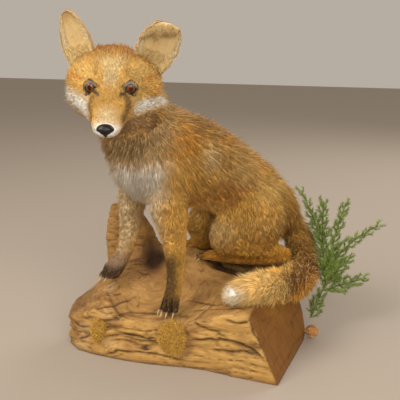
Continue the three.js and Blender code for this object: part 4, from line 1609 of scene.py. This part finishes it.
# %% Press a ball into a nose
def nose_mesh():
    rows, columns = 70, 110
    points, local = ball_points(np.zeros(3), 1.0, rows, columns, *np.eye(3))
    x, y, z = local.T
    wide = 1 - 0.45 * ease(0.1, -0.9, z)
    q = local * NOSE_RADII * table(1 + 0 * x, wide, 1 + 0 * x)
    q[:, 0] -= 1.0 * ease(0.2, -1.0, z)
    q[:, 2] -= 4.5 * np.exp(-(q[:, 1] / 1.7) ** 2) * ease(-0.45, -1, z)
    paired = both_sides(q)
    nostril = mound(paired, (6.2, 4.7, -0.4), (5, 2.1, 1.8), 1.0)
    comma = mound(paired, (3.2, 8.2, -2.2), (4, 2.6, 1.2), 1.0)
    furrow = np.exp(-(q[:, 1] / 0.8) ** 2) * ease(3.0, -1.5, q[:, 2]) * (x > 0)
    wing = mound(paired, (5, 7.0, 2.4), (4, 3.4, 2.2), 1.0)
    q += local * (0.7 * wing - 2.8 * nostril - 1.4 * comma - 1.1 * furrow)[:, None]
    q += local * (0.10 * wander(q, 0.9, 12))[:, None]
    mesh = mesh_from("nose", from_head(q + np.array(NOSE_AT)), ball_faces(rows, columns))
    colour = np.tile(linear(17, 16, 17), (len(q), 1))
    # Painted shade: the nostrils and the furrow are darkened below the leather's own black.
    colour = glaze(colour, linear(6, 5, 5), np.clip(nostril + comma + 0.6 * furrow, 0, 1), 1.0)
    colour_points(mesh, colour)
    return facing(mesh, 0, head_x)


def leather_look(add):
    pebbles = pattern(add, "Voronoi", 1100)["Distance"]
    return {"Base_Color": read_points(add), "Normal": relief_of(add, 0.3, 0.0004, pebbles)}


leather = material_of("nose_leather", leather_look, Roughness=0.4, Specular_IOR_Level=0.3,
                      Coat_Weight=0.12, Coat_Roughness=0.15)
piece("nose", nose_mesh(), leather, "nose_leather", "nose_pad")

# %% [markdown]
# ## Claws and whiskers
#
# A fox's claws stay out. Each is a cone of horn that curves down to a blunt point, pale on this mount
# where the light catches it. Whiskers are stiff hairs in rows on the upper lip, with a few over the
# eyes. Both are swept tubes: rings along a bent line that close to a tip.

# %% Swept horns
def swept(starts, ways, bends, lengths, radius, rings, sides):
    """Closed curved cones. Every start grows along its way and turns towards its bend."""
    starts, ways, bends = (np.asarray(v, float) for v in (starts, ways, bends))
    along = np.linspace(0, 1, rings)
    line = starts[:, None] + lengths[:, None, None] * (
        ways[:, None] * along[None, :, None] + bends[:, None] * (along ** 2)[None, :, None])
    side = unit(np.cross(ways, bends + 1e-4))
    up = unit(np.cross(side, ways))
    turn = 2 * np.pi * np.arange(sides) / sides
    turn = turn[None, None, :, None]
    around = side[:, None, None] * np.cos(turn) + up[:, None, None] * np.sin(turn)
    thick = radius * (1 - 0.93 * along[None] ** 1.4)
    hoops = line[:, :, None] + around * thick[:, :, None, None]
    count = len(starts)
    ends = np.concatenate([line[:, :1], line[:, -1:]], axis=1)
    points = np.concatenate([hoops.reshape(count, -1, 3), ends], axis=1).reshape(-1, 3)
    ring = np.arange(rings * sides).reshape(rings, sides)
    after = np.roll(ring, -1, axis=1)
    tube = np.stack([ring[:-1], after[:-1], after[1:], ring[1:]], axis=-1).reshape(-1, 4)
    tube = np.concatenate([tube[:, [0, 1, 2]], tube[:, [0, 2, 3]]])
    foot = table(0 * ring[0] + rings * sides, after[0], ring[0])
    head = table(0 * ring[0] + rings * sides + 1, ring[-1], after[-1])
    pattern = np.concatenate([tube, foot, head])
    faces = ((rings * sides + 2) * np.arange(count)[:, None, None] + pattern[None]).reshape(-1, 3)
    return points, faces


CLAW_LENGTH, CLAW_RADIUS = 9.5, 1.9
CLAW_RINGS, CLAW_SIDES = 9, 10
claws = []
for at, heading, drop in PAWS:
    ahead, across = paw_axes(heading)
    dip = math.radians(drop)
    for toe, advance in enumerate(TOE_ADVANCE):
        start = np.array(at) + ahead * (advance + TOE_REACH - 4.0) + across * (toe - 1.5) * TOE_SPREAD
        claws.append((start + (0, 0, 1.0), ahead * math.cos(dip) - np.array((0, 0, math.sin(dip)))))
starts, ways = (np.array(column) for column in zip(*claws))
points, faces = swept(starts, ways, np.tile((0, 0, -0.35), (len(claws), 1)),
                      np.full(len(claws), CLAW_LENGTH), CLAW_RADIUS, CLAW_RINGS, CLAW_SIDES)
claw_mesh = mesh_from("claws", points * MM, faces)
horn_share = (np.arange(len(points)) % (CLAW_RINGS * CLAW_SIDES + 2) // CLAW_SIDES) / (CLAW_RINGS - 1)
horn = np.tile(linear(70, 50, 32), (len(points), 1))
colour_points(claw_mesh, glaze(horn, linear(186, 156, 108), ease(0.1, 0.6, horn_share)))


def horn_look(add):
    streak = pattern(add, "Noise", 700)["Color"]
    return {"Base_Color": tinted(add, "SOFT_LIGHT", 0.6, read_points(add), streak)}


claw_finish = material_of("claw_horn", horn_look, Roughness=0.35)
piece("claws", claw_mesh, claw_finish, "claw")

# %% Whiskers
rng = np.random.default_rng(7)
whiskers = []
for side in (1, -1):
    flip = (1, side, 1)
    for row, column in product(range(3), range(4)):
        start = np.array((64 - 6.5 * column, 15 + 1.6 * column, -21 - 3.4 * row))
        way = unit(np.array((0.10 - 0.16 * column, 0.95, -0.25 - 0.10 * row)) + rng.normal(0, 0.08, 3))
        bend = np.array((-0.35, 0, -0.28)) + rng.normal(0, 0.05, 3)
        whiskers.append((start * flip, way * flip, bend, rng.uniform(16, 30) + 2.5 * column))
    for column in range(3):
        start = np.array((4, 24 + 3 * column, 14))
        way = unit(np.array((0.5, 0.35, 0.9)) + rng.normal(0, 0.08, 3))
        whiskers.append((start * flip, way * flip, (-0.3, 0, 0.0), rng.uniform(12, 20)))
points, faces = swept(*(np.array(column) for column in zip(*whiskers)), 0.13, rings=8, sides=4)
whisker_mesh = mesh_from("whiskers", from_head(points), faces)
colour_points(whisker_mesh, np.tile(linear(140, 116, 84), (len(points), 1)))
piece("whiskers", whisker_mesh, claw_finish, "coat_dark")

# %% [markdown]
# ## The log
#
# The base is a weathered root log, split into layers along its grain and sawn off at the right end. Its
# packed form is remeshed finely, and then carved: a grain field runs with the layers and swirls round
# the broken root, long splits are cut where the layers part, and smaller cracks follow the grain.
# How deep each point was carved is kept, because dirt and shade gather in the cracks.

# %% The grain of the log
SPLITS = [
    ([(-103, -127, 77), (-78, -117, 78), (-52, -106, 79), (-19, -102, 80), (10, -100, 82)], 3.5, 2.2),
    ([(-78, -129, 45), (-54, -127, 46), (-32, -125, 43), (-4, -124, 44), (26, -122, 47)], 6.5, 3.2),
    ([(30, -122, 57), (49, -112, 50), (85, -112, 56), (121, -113, 55), (148, -113, 44)], 8.0, 3.4),
    ([(17, -124, 77), (41, -112, 77), (67, -110, 70), (95, -112, 65)], 4.0, 2.2),
    ([(68, -96, 94), (97, -112, 89), (113, -114, 89), (131, -114, 95)], 5.0, 2.2),
    ([(61, -110, 35), (110, -111, 43), (144, -113, 43), (160, -112, 34)], 5.0, 2.6),
    ([(-102, -129, 6), (-83, -129, 16), (-37, -127, 20), (-18, -124, 20), (40, -112, 12)], 3.5, 2.2),
    ([(-157, -124, 21), (-143, -125, 27), (-130, -126, 35)], 3.0, 2.0),
    ([(-175, -112, 46), (-152, -123, 44), (-128, -126, 48)], 3.5, 2.2),
    ([(-140, -110, 78), (-118, -122, 81), (-89, -98, 86), (-73, -76, 93)], 6.0, 2.8),
    ([(-69, -76, 93), (-64, -86, 88), (-58, -98, 82)], 3.0, 1.6),
    ([(139, -80, 87), (147, -55, 70), (157, -27, 48)], 4.0, 1.3),
    ([(124, -101, 106), (134, -114, 96), (138, -113, 78), (152, -113, 59), (166, -111, 31)], 3.0, 2.6),
    ([(9, -67, 93), (45, -70, 94), (90, -81, 102), (115, -85, 106)], 1.6, 1.6),
    ([(27, -89, 86), (51, -86, 92), (80, -90, 99), (119, -96, 106)], 2.6, 1.8),
    ([(-160, 40, 60), (-120, 96, 58), (-70, 130, 52), (0, 150, 60)], 5.0, 3.0),
    ([(20, 158, 70), (70, 154, 78), (120, 134, 74), (158, 80, 60)], 5.0, 3.0),
    ([(-40, 146, 30), (30, 158, 34), (100, 144, 28), (150, 108, 20)], 4.0, 2.6),
]
SWIRLS = [(-56, -30, 1.0), (52, 66, 0.8)]
SAWN_AT, SAWN_LEAN = 178.0, 0.45
HOLLOWS = [((46, 46, 114), (38, 26, 26)), ((-66, -18, 150), (22, 26, 26))]
LOG_VOXEL = 2.6


def bent(p):
    """Places pushed about by slow noise, so that no split or ring is ruled with a straight edge."""
    return p + 7 * np.stack([wander(p, 38, 71 + k) for k in range(3)], axis=1)


def grain_of(p, upness):
    """Across the grain, and the two ways along it. Layers lie level on the sides and swirl on top."""
    q = bent(p)
    rings = [np.linalg.norm((q[:, :2] - (x, y)) * (0.8, 1.0), axis=1) * k for x, y, k in SWIRLS]
    rings = np.min(rings, axis=0)
    level = q[:, 2] - 0.05 * q[:, 0]
    across = mix(level, 0.75 * rings + 0.25 * q[:, 1], upness)
    return table(across, 0.10 * q[:, 0], 0.10 * (q[:, 1] + q[:, 2]))


def carve(p, normal):
    """How far each point of the log moves in, in millimetres, how dark its cracks are, and its grain."""
    upness = ease(0.35, 0.85, normal[:, 2])
    grain = grain_of(p, upness)
    broad = 1 - np.abs(wander(grain, 13, 80))
    narrow = 1 - np.abs(wander(grain, 5.5, 81))
    patch = ease(-0.4, 0.5, wander(p, 45, 82))
    side_share = 1 - 0.62 * upness
    cut = 4.6 * side_share * ease(0.80, 1.0, broad) * patch
    cut += 1.8 * side_share * ease(0.82, 1.0, narrow)
    cut += 1.6 * side_share * wander(grain, 21, 83) + 0.6 * wander(p, 9, 84)
    dark = 0.8 * ease(0.86, 1.0, broad) * patch + 0.5 * ease(0.9, 1.0, narrow)
    q = p + 2.2 * np.stack([wander(p, 11, 90 + k) for k in range(3)], axis=1)
    for line, depth, width in SPLITS:
        gap, share = along_line(q, line)
        end = ease(0, 0.12, share) * ease(1, 0.88, share)
        here = np.exp(-(gap / width) ** 2) * (0.45 + 0.55 * end)
        cut = cut * (1 - 0.6 * here) + depth * here
        dark = np.maximum(dark, 1.15 * np.exp(-(gap / (0.8 * width)) ** 2) * end)
        cut += 0.22 * depth * np.exp(-(gap / (4.5 * width)) ** 2) * np.where(q[:, 2] > np.interp(
            q[:, 0], [point[0] for point in line], [point[2] for point in line]), -1, 1) * (1 - upness)
    # The hollows are carved and also painted dark: painted shade in the hollows under the belly and between
    # the forelegs.
    for centre, radii in HOLLOWS:
        hole = blob(bent(p), centre, radii, 0.5)
        cut += 12 * hole
        dark = np.maximum(dark, 1.1 * hole)
    return cut, dark, grain


# %% Carve the log
log_mesh = remeshed(join_nodes("base_log"), LOG_VOXEL, 3)
log_points, log_normals = points_of(log_mesh) / MM, normals_of(log_mesh)
cut, crack_dark, log_grain = carve(log_points, log_normals)
from_saw = SAWN_AT - SAWN_LEAN * log_points[:, 2] - log_points[:, 0]
sawn = ease(3.5, 1.5, from_saw) * ease(0.55, 0.8, log_normals[:, 0])
cut = mix(cut, 0.25 * wander(log_points * (1, 1, 0.12), 2.5, 85) + 3 * (crack_dark > 0.9), sawn)
under = ease(6, 1, log_points[:, 2])
cut = mix(cut, np.maximum(cut, 0) * 0.4, under)
moved = log_points - log_normals * cut[:, None]
moved[:, 2] = np.maximum(moved[:, 2], 0)
moved[log_points[:, 2] < 0.9, 2] = 0
put_points(log_mesh, moved * MM)
print("log:", len(log_mesh.polygons), "faces, carved up to", cut.max().round(1), "mm")

# %% [markdown]
# Old pine goes from ochre to grey-brown where it is weathered, and stays a redder brown where sawn. The
# paint follows the carving: pale on the worn ridges, nearly black in the splits, and darker red-brown round
# the broken root and behind the forelegs, partly the root's own wood and partly painted shade. Fine lines
# come from noise read along the grain, so they bend with it.

# %% Paint the log
def log_colours(p, normal, cut, dark, sawn):
    x, y, z = p.T
    upness = ease(0.35, 0.85, normal[:, 2])
    colour = np.tile(linear(180, 138, 74), (len(p), 1))
    colour = glazed(colour,
        (linear(160, 118, 66), upness, 0.8),
        (linear(198, 156, 92), ease(0.6, -1.4, cut), 0.6),
        (linear(138, 98, 54), ease(0.1, 0.7, wander(p, 30, 86)), 0.6),
        (linear(188, 158, 114), ease(0.2, 0.8, wander(p, 24, 87)) * ease(-60, -120, x), 0.6),
        # Partly painted shade: the root behind the forelegs and round the broken root is darkened beyond its
        # own wood.
        (linear(124, 88, 52), blob(p, (-120, 4, 170), (44, 40, 60), 0.8), 0.6),
        (linear(120, 78, 40), blob(p, (-66, -34, 128), (30, 30, 24), 0.9), 0.6),
        (linear(96, 66, 40), blob(p, (-178, -70, 66), (22, 40, 22), 0.8), 0.6),
        (linear(128, 80, 24), sawn, 0.92),
        (linear(172, 118, 40), sawn * ease(40, 90, z) * ease(-70, -20, y), 0.6),
        # Painted shade: the log is darker towards the floor where it rests on it.
        (linear(120, 84, 48), ease(14, 2, z), 0.5),
        (linear(54, 32, 16), np.clip(dark, 0, 1) * (1 - 0.4 * sawn), 0.92))
    return np.clip(colour * (1 + 0.09 * wander(p, 6, 88))[:, None], 0, 1)


colour_points(log_mesh, log_colours(log_points, log_normals, cut, crack_dark, sawn))
end_grain = table(0.1 * log_points[:, 0], log_points[:, 1], 0.06 * log_points[:, 2])
grain_left = log_mesh.attributes.new("grain", "FLOAT_VECTOR", "POINT")
grain_left.data.foreach_set("vector", mix(log_grain, end_grain, sawn[:, None]).astype(np.float32).ravel())


def wood_look(add):
    grain = read_points(add, "grain", "Vector")
    lines = add("ShaderNodeTexNoise", Vector=grain, Scale=0.42, Detail=6, Roughness=0.65).outputs["Fac"]
    contrast = add("ShaderNodeMapRange", Value=lines, From_Min=0.3, From_Max=0.7, To_Min=0.66, To_Max=1.22)
    return {"Base_Color": tinted(add, "MULTIPLY", 1.0, read_points(add), contrast.outputs["Result"]),
            "Normal": relief_of(add, 0.7, 0.0012, lines)}


wood = material_of("weathered_wood", wood_look, Roughness=0.72, Specular_IOR_Level=0.3)
piece("log", smooth_shaded(log_mesh), wood, "log_wood", "base_log")

# %% [markdown]
# ## Moss
#
# Two cushions of dry golden moss grow on the log. A cushion is hundreds of small curled shoots on a lumpy
# pad, and what repeats over a surface is a job for Geometry Nodes: points are spread over the pad, a
# shoot made from a bent line is set on each with its own turn and size, and a number from 0 to 1 is left
# on every shoot so that the material can give it its own shade.

# %% Helpers for node trees
def geometry_tree(name, inputs):
    """A tree with a geometry in and out and named number inputs, and a short way to add and join nodes."""
    tree = bpy.data.node_groups.new(name, "GeometryNodeTree")
    tree.interface.new_socket("Geometry", in_out="INPUT", socket_type="NodeSocketGeometry")
    for label, value in inputs.items():
        kind = "NodeSocketInt" if isinstance(value, int) else "NodeSocketFloat"
        tree.interface.new_socket(label, in_out="INPUT", socket_type=kind).default_value = value
    tree.interface.new_socket("Material", in_out="INPUT", socket_type="NodeSocketMaterial")
    tree.interface.new_socket("Geometry", in_out="OUTPUT", socket_type="NodeSocketGeometry")
    return tree, tree.nodes.new("NodeGroupInput").outputs, adder(tree)[0]


def grown(mesh, tree, values):
    """Runs a tree on a mesh and returns the plain mesh that it makes."""
    work = in_scene("growing", mesh)
    modifier = work.modifiers.new("grow", "NODES")
    modifier.node_group = tree
    for item in tree.interface.items_tree:
        if item.in_out == "INPUT" and item.name in values:
            modifier[item.identifier] = values[item.name]
    result = mesh_made_by(work)
    work.modifiers.remove(modifier)
    bpy.data.objects.remove(work)
    return result


def drawn(add, seed, low=0.0, high=1.0):
    """A random number between low and high."""
    return add("FunctionNodeRandomValue", {"data_type": "FLOAT"}, _2=low, _3=high, Seed=seed).outputs[1]


def times(add, a, b):
    return add("ShaderNodeMath", {"operation": "MULTIPLY"}, _0=a, _1=b).outputs[0]


def turned(add, rotation, angles):
    """A rotation turned further by angles about its own axes."""
    turn = add("FunctionNodeEulerToRotation", Euler=angles).outputs[0]
    return add("FunctionNodeRotateRotation", {"rotation_space": "LOCAL"}, Rotation=rotation,
               Rotate_By=turn).outputs[0]


def ended(add, given, geometry):
    """Sets the material and closes the tree."""
    finished = add("GeometryNodeSetMaterial", Geometry=geometry, Material=given["Material"])
    add("NodeGroupOutput", _0=finished.outputs[0])


def shaded_instances(add, points, shape, rotation, scale, seed):
    """Sets a shape on every point with a random shade, and makes it real mesh."""
    placed = add("GeometryNodeInstanceOnPoints", Points=points, Instance=shape, Rotation=rotation,
                 Scale=scale)
    stored = add("GeometryNodeStoreNamedAttribute", {"data_type": "FLOAT", "domain": "INSTANCE"},
                 Geometry=placed.outputs["Instances"], Name="shade", Value=drawn(add, seed))
    return add("GeometryNodeRealizeInstances", Geometry=stored.outputs["Geometry"]).outputs["Geometry"]


# %% A tree that grows shoots on a pad
def moss_tree():
    tree, given, add = geometry_tree("moss_shoots", {"Density": 400000.0, "Length": 0.0042, "Seed": 1})
    seed = given["Seed"]
    spread = add("GeometryNodeDistributePointsOnFaces", Mesh=given["Geometry"], Density=given["Density"],
                 Seed=seed).outputs
    line = add("GeometryNodeCurveQuadraticBezier", Resolution=4, Start=(0, 0, -0.12), Middle=(0, 0, 0.55),
               End=(0.65, 0, 0.75))
    along = add("GeometryNodeSplineParameter")
    taper = add("ShaderNodeMapRange", Value=along.outputs["Factor"], To_Min=1.0, To_Max=0.25)
    section = add("GeometryNodeCurvePrimitiveCircle", Resolution=3, Radius=0.11)
    shoot = add("GeometryNodeCurveToMesh", Curve=line.outputs[0], Profile_Curve=section.outputs[0],
                Scale=taper.outputs[0], Fill_Caps=True)
    angles = add("FunctionNodeRandomValue", {"data_type": "FLOAT_VECTOR"}, Seed=seed, _0=(-0.9, -0.9, 0),
                 _1=(0.9, 0.9, 6.28))
    rotation = turned(add, spread["Rotation"], angles.outputs[0])
    length = times(add, drawn(add, seed, 0.6, 1.3), given["Length"])
    real = shaded_instances(add, spread["Points"], shoot.outputs[0], rotation, length, seed)
    whole = add("GeometryNodeJoinGeometry", Geometry=real)
    tree.links.new(given["Geometry"], whole.inputs[0])
    ended(add, given, whole.outputs[0])
    return tree


# %% The moss cushions
def plant_finish(name, tones, roughness):
    """A matt plant colour that runs through three tones by the shade left on each shoot."""
    def look(add):
        shade, patch = read_points(add, "shade", "Fac"), pattern(add, "Noise", 160)["Fac"]
        both = add("ShaderNodeMix", Factor=0.4, _2=shade, _3=patch).outputs[0]
        ramp = add("ShaderNodeValToRGB", Fac=both)
        ramp.color_ramp.elements.new(0.5)
        for element, tone in zip(ramp.color_ramp.elements, tones):
            element.color = (*linear(*tone), 1)
        return {"Base_Color": ramp.outputs["Color"]}

    return material_of(name, look, Roughness=roughness, Sheen_Weight=0.15)


def lumpy_pad(node, lump, seed):
    """A CAD solid's own mesh, merged, made finer and given soft lumps."""
    mesh = remeshed(join_nodes(node), 1.6)
    points = points_of(mesh)
    push = lump * rugged(points, 0.008, 2, seed) + 3.5 * wander(points, 0.017, seed + 9) - 1.5
    put_points(mesh, points + normals_of(mesh) * (push * MM)[:, None])
    return mesh


MOSS_DENSITY = 650000.0 * 1.0
moss_finish = plant_finish("moss_gold", [(116, 78, 18), (194, 144, 36), (236, 196, 90)], 0.8)
shoots = moss_tree()
for node, seed in (("base_moss_front", 3), ("base_moss_left", 4)):
    values = {"Density": MOSS_DENSITY, "Seed": seed, "Material": moss_finish}
    cushion = grown(lumpy_pad(node, 1.6, seed), shoots, values)
    piece(node.replace("base_", ""), cushion, moss_finish, "moss", node)

# %% [markdown]
# ## The juniper sprig
#
# Seven twigs fan out behind the log's right end. Each carries side shoots that turn round it as they go
# up, and needles stand on all of them in threes. The lines are drawn here, because their forking is
# easier to say in code, and two trees do the rest: one sweeps a round section along every line, the other
# walks along it and sets needles.

# %% Draw the twigs as lines
TWIGS = [
    ((181, 76, 32), (189, 92, 56), (197, 112, 84)), ((196, 114, 80), (176, 156, 150), (129, 184, 233)),
    ((180, 152, 136), (178, 162, 180), (177, 166, 217)), ((197, 117, 90), (203, 146, 156), (219, 160, 221)),
    ((198, 117, 84), (220, 147, 138), (276, 176, 181)), ((198, 115, 80), (216, 121, 110), (239, 129, 133)),
    ((197, 110, 72), (226, 134, 80), (263, 149, 91)),
]
SHOOT_TURN = 2.4
TWIG_STEPS = 18


def through(start, middle, tip, t):
    """A smooth line through three places."""
    start, middle, tip = (np.array(place, float) for place in (start, middle, tip))
    t = np.asarray(t, float)[:, None]
    return start * (1 - t) * (1 - 2 * t) + middle * 4 * t * (1 - t) + tip * t * (2 * t - 1)


def forked(start, middle, tip, thickness, reach, gap, rng):
    """A twig and the shoots on it, which fork again while they are long enough."""
    main = through(start, middle, tip, np.linspace(0, 0.97, TWIG_STEPS))
    made = [(main, np.linspace(thickness, 0.4 * thickness, TWIG_STEPS))]
    length = np.linalg.norm(np.diff(main, axis=0), axis=1).sum()
    for k in range(int(length / gap)):
        t = (k + 0.7) * gap / length
        here, ahead = through(start, middle, tip, [t, t + 0.02])
        way = unit(ahead - here)
        side = unit(np.cross(way, (0.3, 0.2, 1)))
        over = np.cross(way, side)
        outward = side * math.cos(SHOOT_TURN * k) + over * math.sin(SHOOT_TURN * k)
        far = reach * (1 - 0.6 * t) * rng.uniform(0.7, 1.1)
        bow = here + far * (0.35 * way + 0.38 * outward)
        end = here + far * (0.85 * way + 0.55 * outward)
        if far > 11:
            made += forked(here, bow, end, 0.4 * thickness, 0.45 * far, 4.5, rng)
        else:
            made.append((through(here, bow, end, np.linspace(0, 1, 5)), np.linspace(0.4, 0.2, 5)))
    return made


twig_rng = np.random.default_rng(11)
lines = [line for twig in TWIGS for line in forked(*twig, 1.3, 28, 4.6, twig_rng)]
line_mesh = bpy.data.meshes.new("twig_lines")
starts = np.cumsum([0] + [len(line) for line, _ in lines])
links_between = [(n, n + 1) for a, b in zip(starts[:-1], starts[1:]) for n in range(a, b - 1)]
line_mesh.from_pydata([tuple(place * MM) for line, _ in lines for place in line], links_between, [])
number_points(line_mesh, "thick", np.concatenate([sizes for _, sizes in lines]).astype(np.float32) * MM)
print(len(lines), "twigs and side shoots")


# %% Trees that sweep bark and set needles along the lines
def bark_tree():
    tree, given, add = geometry_tree("twig_bark", {"Sides": 4})
    line = add("GeometryNodeMeshToCurve", Mesh=given["Geometry"])
    thick = add("GeometryNodeInputNamedAttribute", {"data_type": "FLOAT"}, Name="thick")
    section = add("GeometryNodeCurvePrimitiveCircle", Resolution=given["Sides"], Radius=1.0)
    swept_line = add("GeometryNodeCurveToMesh", Curve=line.outputs[0], Profile_Curve=section.outputs[0],
                     Scale=thick.outputs[0], Fill_Caps=True)
    ended(add, given, swept_line.outputs[0])
    return tree


def needle_tree():
    inputs = {"Gap": 0.0019, "Length": 0.0062, "Lean": 0.7, "Seed": 1}
    tree, given, add = geometry_tree("juniper_needles", inputs)
    seed = given["Seed"]
    line = add("GeometryNodeMeshToCurve", Mesh=given["Geometry"])
    spots = add("GeometryNodeCurveToPoints", {"mode": "LENGTH"}, Curve=line.outputs[0], Length=given["Gap"])
    threes = add("GeometryNodeDuplicateElements", {"domain": "POINT"}, Geometry=spots.outputs["Points"],
                 Amount=3)
    about = add("FunctionNodeAlignRotationToVector", {"axis": "Z"}, Vector=spots.outputs["Tangent"])
    spun = add("ShaderNodeCombineXYZ", Z=drawn(add, seed, 0.0, 6.2832))
    tilted = add("ShaderNodeCombineXYZ", X=times(add, drawn(add, seed, 0.75, 1.25), given["Lean"]))
    rotation = turned(add, turned(add, about.outputs[0], spun.outputs[0]), tilted.outputs[0])
    needle = add("GeometryNodeMeshCone", {"fill_type": "TRIANGLE_FAN"}, Vertices=4, Radius_Top=0.0,
                 Radius_Bottom=0.095, Depth=1.0)
    length = times(add, drawn(add, seed, 0.7, 1.2), given["Length"])
    real = shaded_instances(add, threes.outputs[0], needle.outputs[0], rotation, length, seed)
    ended(add, given, real)
    return tree


# %% Grow the sprig
needle_finish = plant_finish("juniper_needles", [(44, 62, 10), (96, 126, 28), (166, 178, 84)], 0.5)
bark_finish = plant_finish("twig_bark", [(70, 48, 28), (112, 80, 46), (150, 116, 72)], 0.85)
bark_mesh = grown(line_mesh.copy(), bark_tree(), {"Material": bark_finish})
piece("sprig_twigs", bark_mesh, bark_finish, "bark")
needle_values = {"Gap": 0.0017, "Seed": 5, "Material": needle_finish}
needle_mesh = grown(line_mesh.copy(), needle_tree(), needle_values)
piece("sprig_needles", needle_mesh, needle_finish, "needles", "base_sprig")

# %% [markdown]
# ## The chip of bark
#
# A loose chip lies at the foot of the sprig. Bark breaks in plates, so the solid is cut fine and its
# surface is pushed in and out in flat steps, with a finer roughness on top.

# %% Break the chip's surface into plates
PLATE, PLATE_STEPS = 2.6, 3


def chip_mesh():
    mesh = remeshed(join_nodes("base_chip"), 0.9)
    points = points_of(mesh)
    field = wander(points * (1, 1, 2.2), 0.007, 71)
    plates = np.round(field * PLATE_STEPS) / PLATE_STEPS
    rough = rugged(points, 0.0024, 2, 72)
    put_points(mesh, points + normals_of(mesh) * ((0.5 * PLATE * plates + 0.35 * rough - 0.6) * MM)[:, None])
    number_points(mesh, "shade", np.clip(0.5 + 0.4 * plates + 0.2 * rough, 0, 1))
    return mesh


chip_finish = plant_finish("bark_chip", [(112, 72, 36), (176, 124, 66), (216, 172, 112)], 0.85)
piece("chip", chip_mesh(), chip_finish, "bark", "base_chip")

# %% [markdown]
# ## Floor, light and camera
#
# A plain floor and broad soft lamps show a mount as a studio would. A lamp high on the left gives the
# form, a broader one from the right opens the shadows, a weak one behind lights the edges, and the pale
# world fills the rest. The camera stands a little over a metre away, just above the fox's eyes.

# %% The floor and the lights
floor_corners = [(-6, -6, 0), (6, -6, 0), (6, 6, 0), (-6, 6, 0)]
floor_mesh = mesh_from("floor", floor_corners, [(0, 1, 2, 3)])
floor_mesh.materials.append(material_of("plain_floor", Base_Color=(0.40, 0.34, 0.28, 1), Roughness=0.85))
in_scene("floor", floor_mesh)


def soft_lamp(name, place, target, size, power, colour):
    light = bpy.data.lights.new(name, "AREA")
    light.shape, light.size = "DISK", size
    light.energy, light.color = power, colour
    lamp = in_scene(name, light)
    lamp.location = place
    lamp.rotation_euler = (Vector(target) - Vector(place)).to_track_quat("-Z", "Y").to_euler()


soft_lamp("key", (-0.9, -1.5, 1.9), (0, 0, 0.25), 1.3, 38, (1.0, 0.95, 0.88))
soft_lamp("fill", (1.3, -1.8, 1.2), (0, 0, 0.25), 1.8, 40, (1.0, 0.97, 0.93))
soft_lamp("back", (0.6, 1.8, 1.6), (0, 0, 0.3), 1.2, 18, (1.0, 0.97, 0.92))
world = bpy.data.worlds.new("studio")
world.use_nodes = True
add, fill = adder(world.node_tree)
fill(world.node_tree.nodes["Background"], {"Color": (0.74, 0.66, 0.57, 1), "Strength": 0.64})
bpy.context.scene.world = world
bpy.context.scene.view_settings.view_transform = "Standard"
print("three soft lamps and a pale world")

# %% The camera
CAMERA_PLACE = (0.4039, -0.9799, 0.5000)
LOOK_DOWN, LOOK_LEFT = 13.739, 22.0
camera = in_scene("camera", bpy.data.cameras.new("camera"))
camera.data.lens, camera.data.sensor_width = 60, 36
camera.location = CAMERA_PLACE
camera.rotation_euler = (math.radians(90 - LOOK_DOWN), 0, math.radians(LOOK_LEFT))
bpy.context.scene.camera = camera
brow_gap = (camera.location - Vector(from_head((0, 0, 0)))).length
print("camera", round(brow_gap / MM), "mm from the fox's brow")
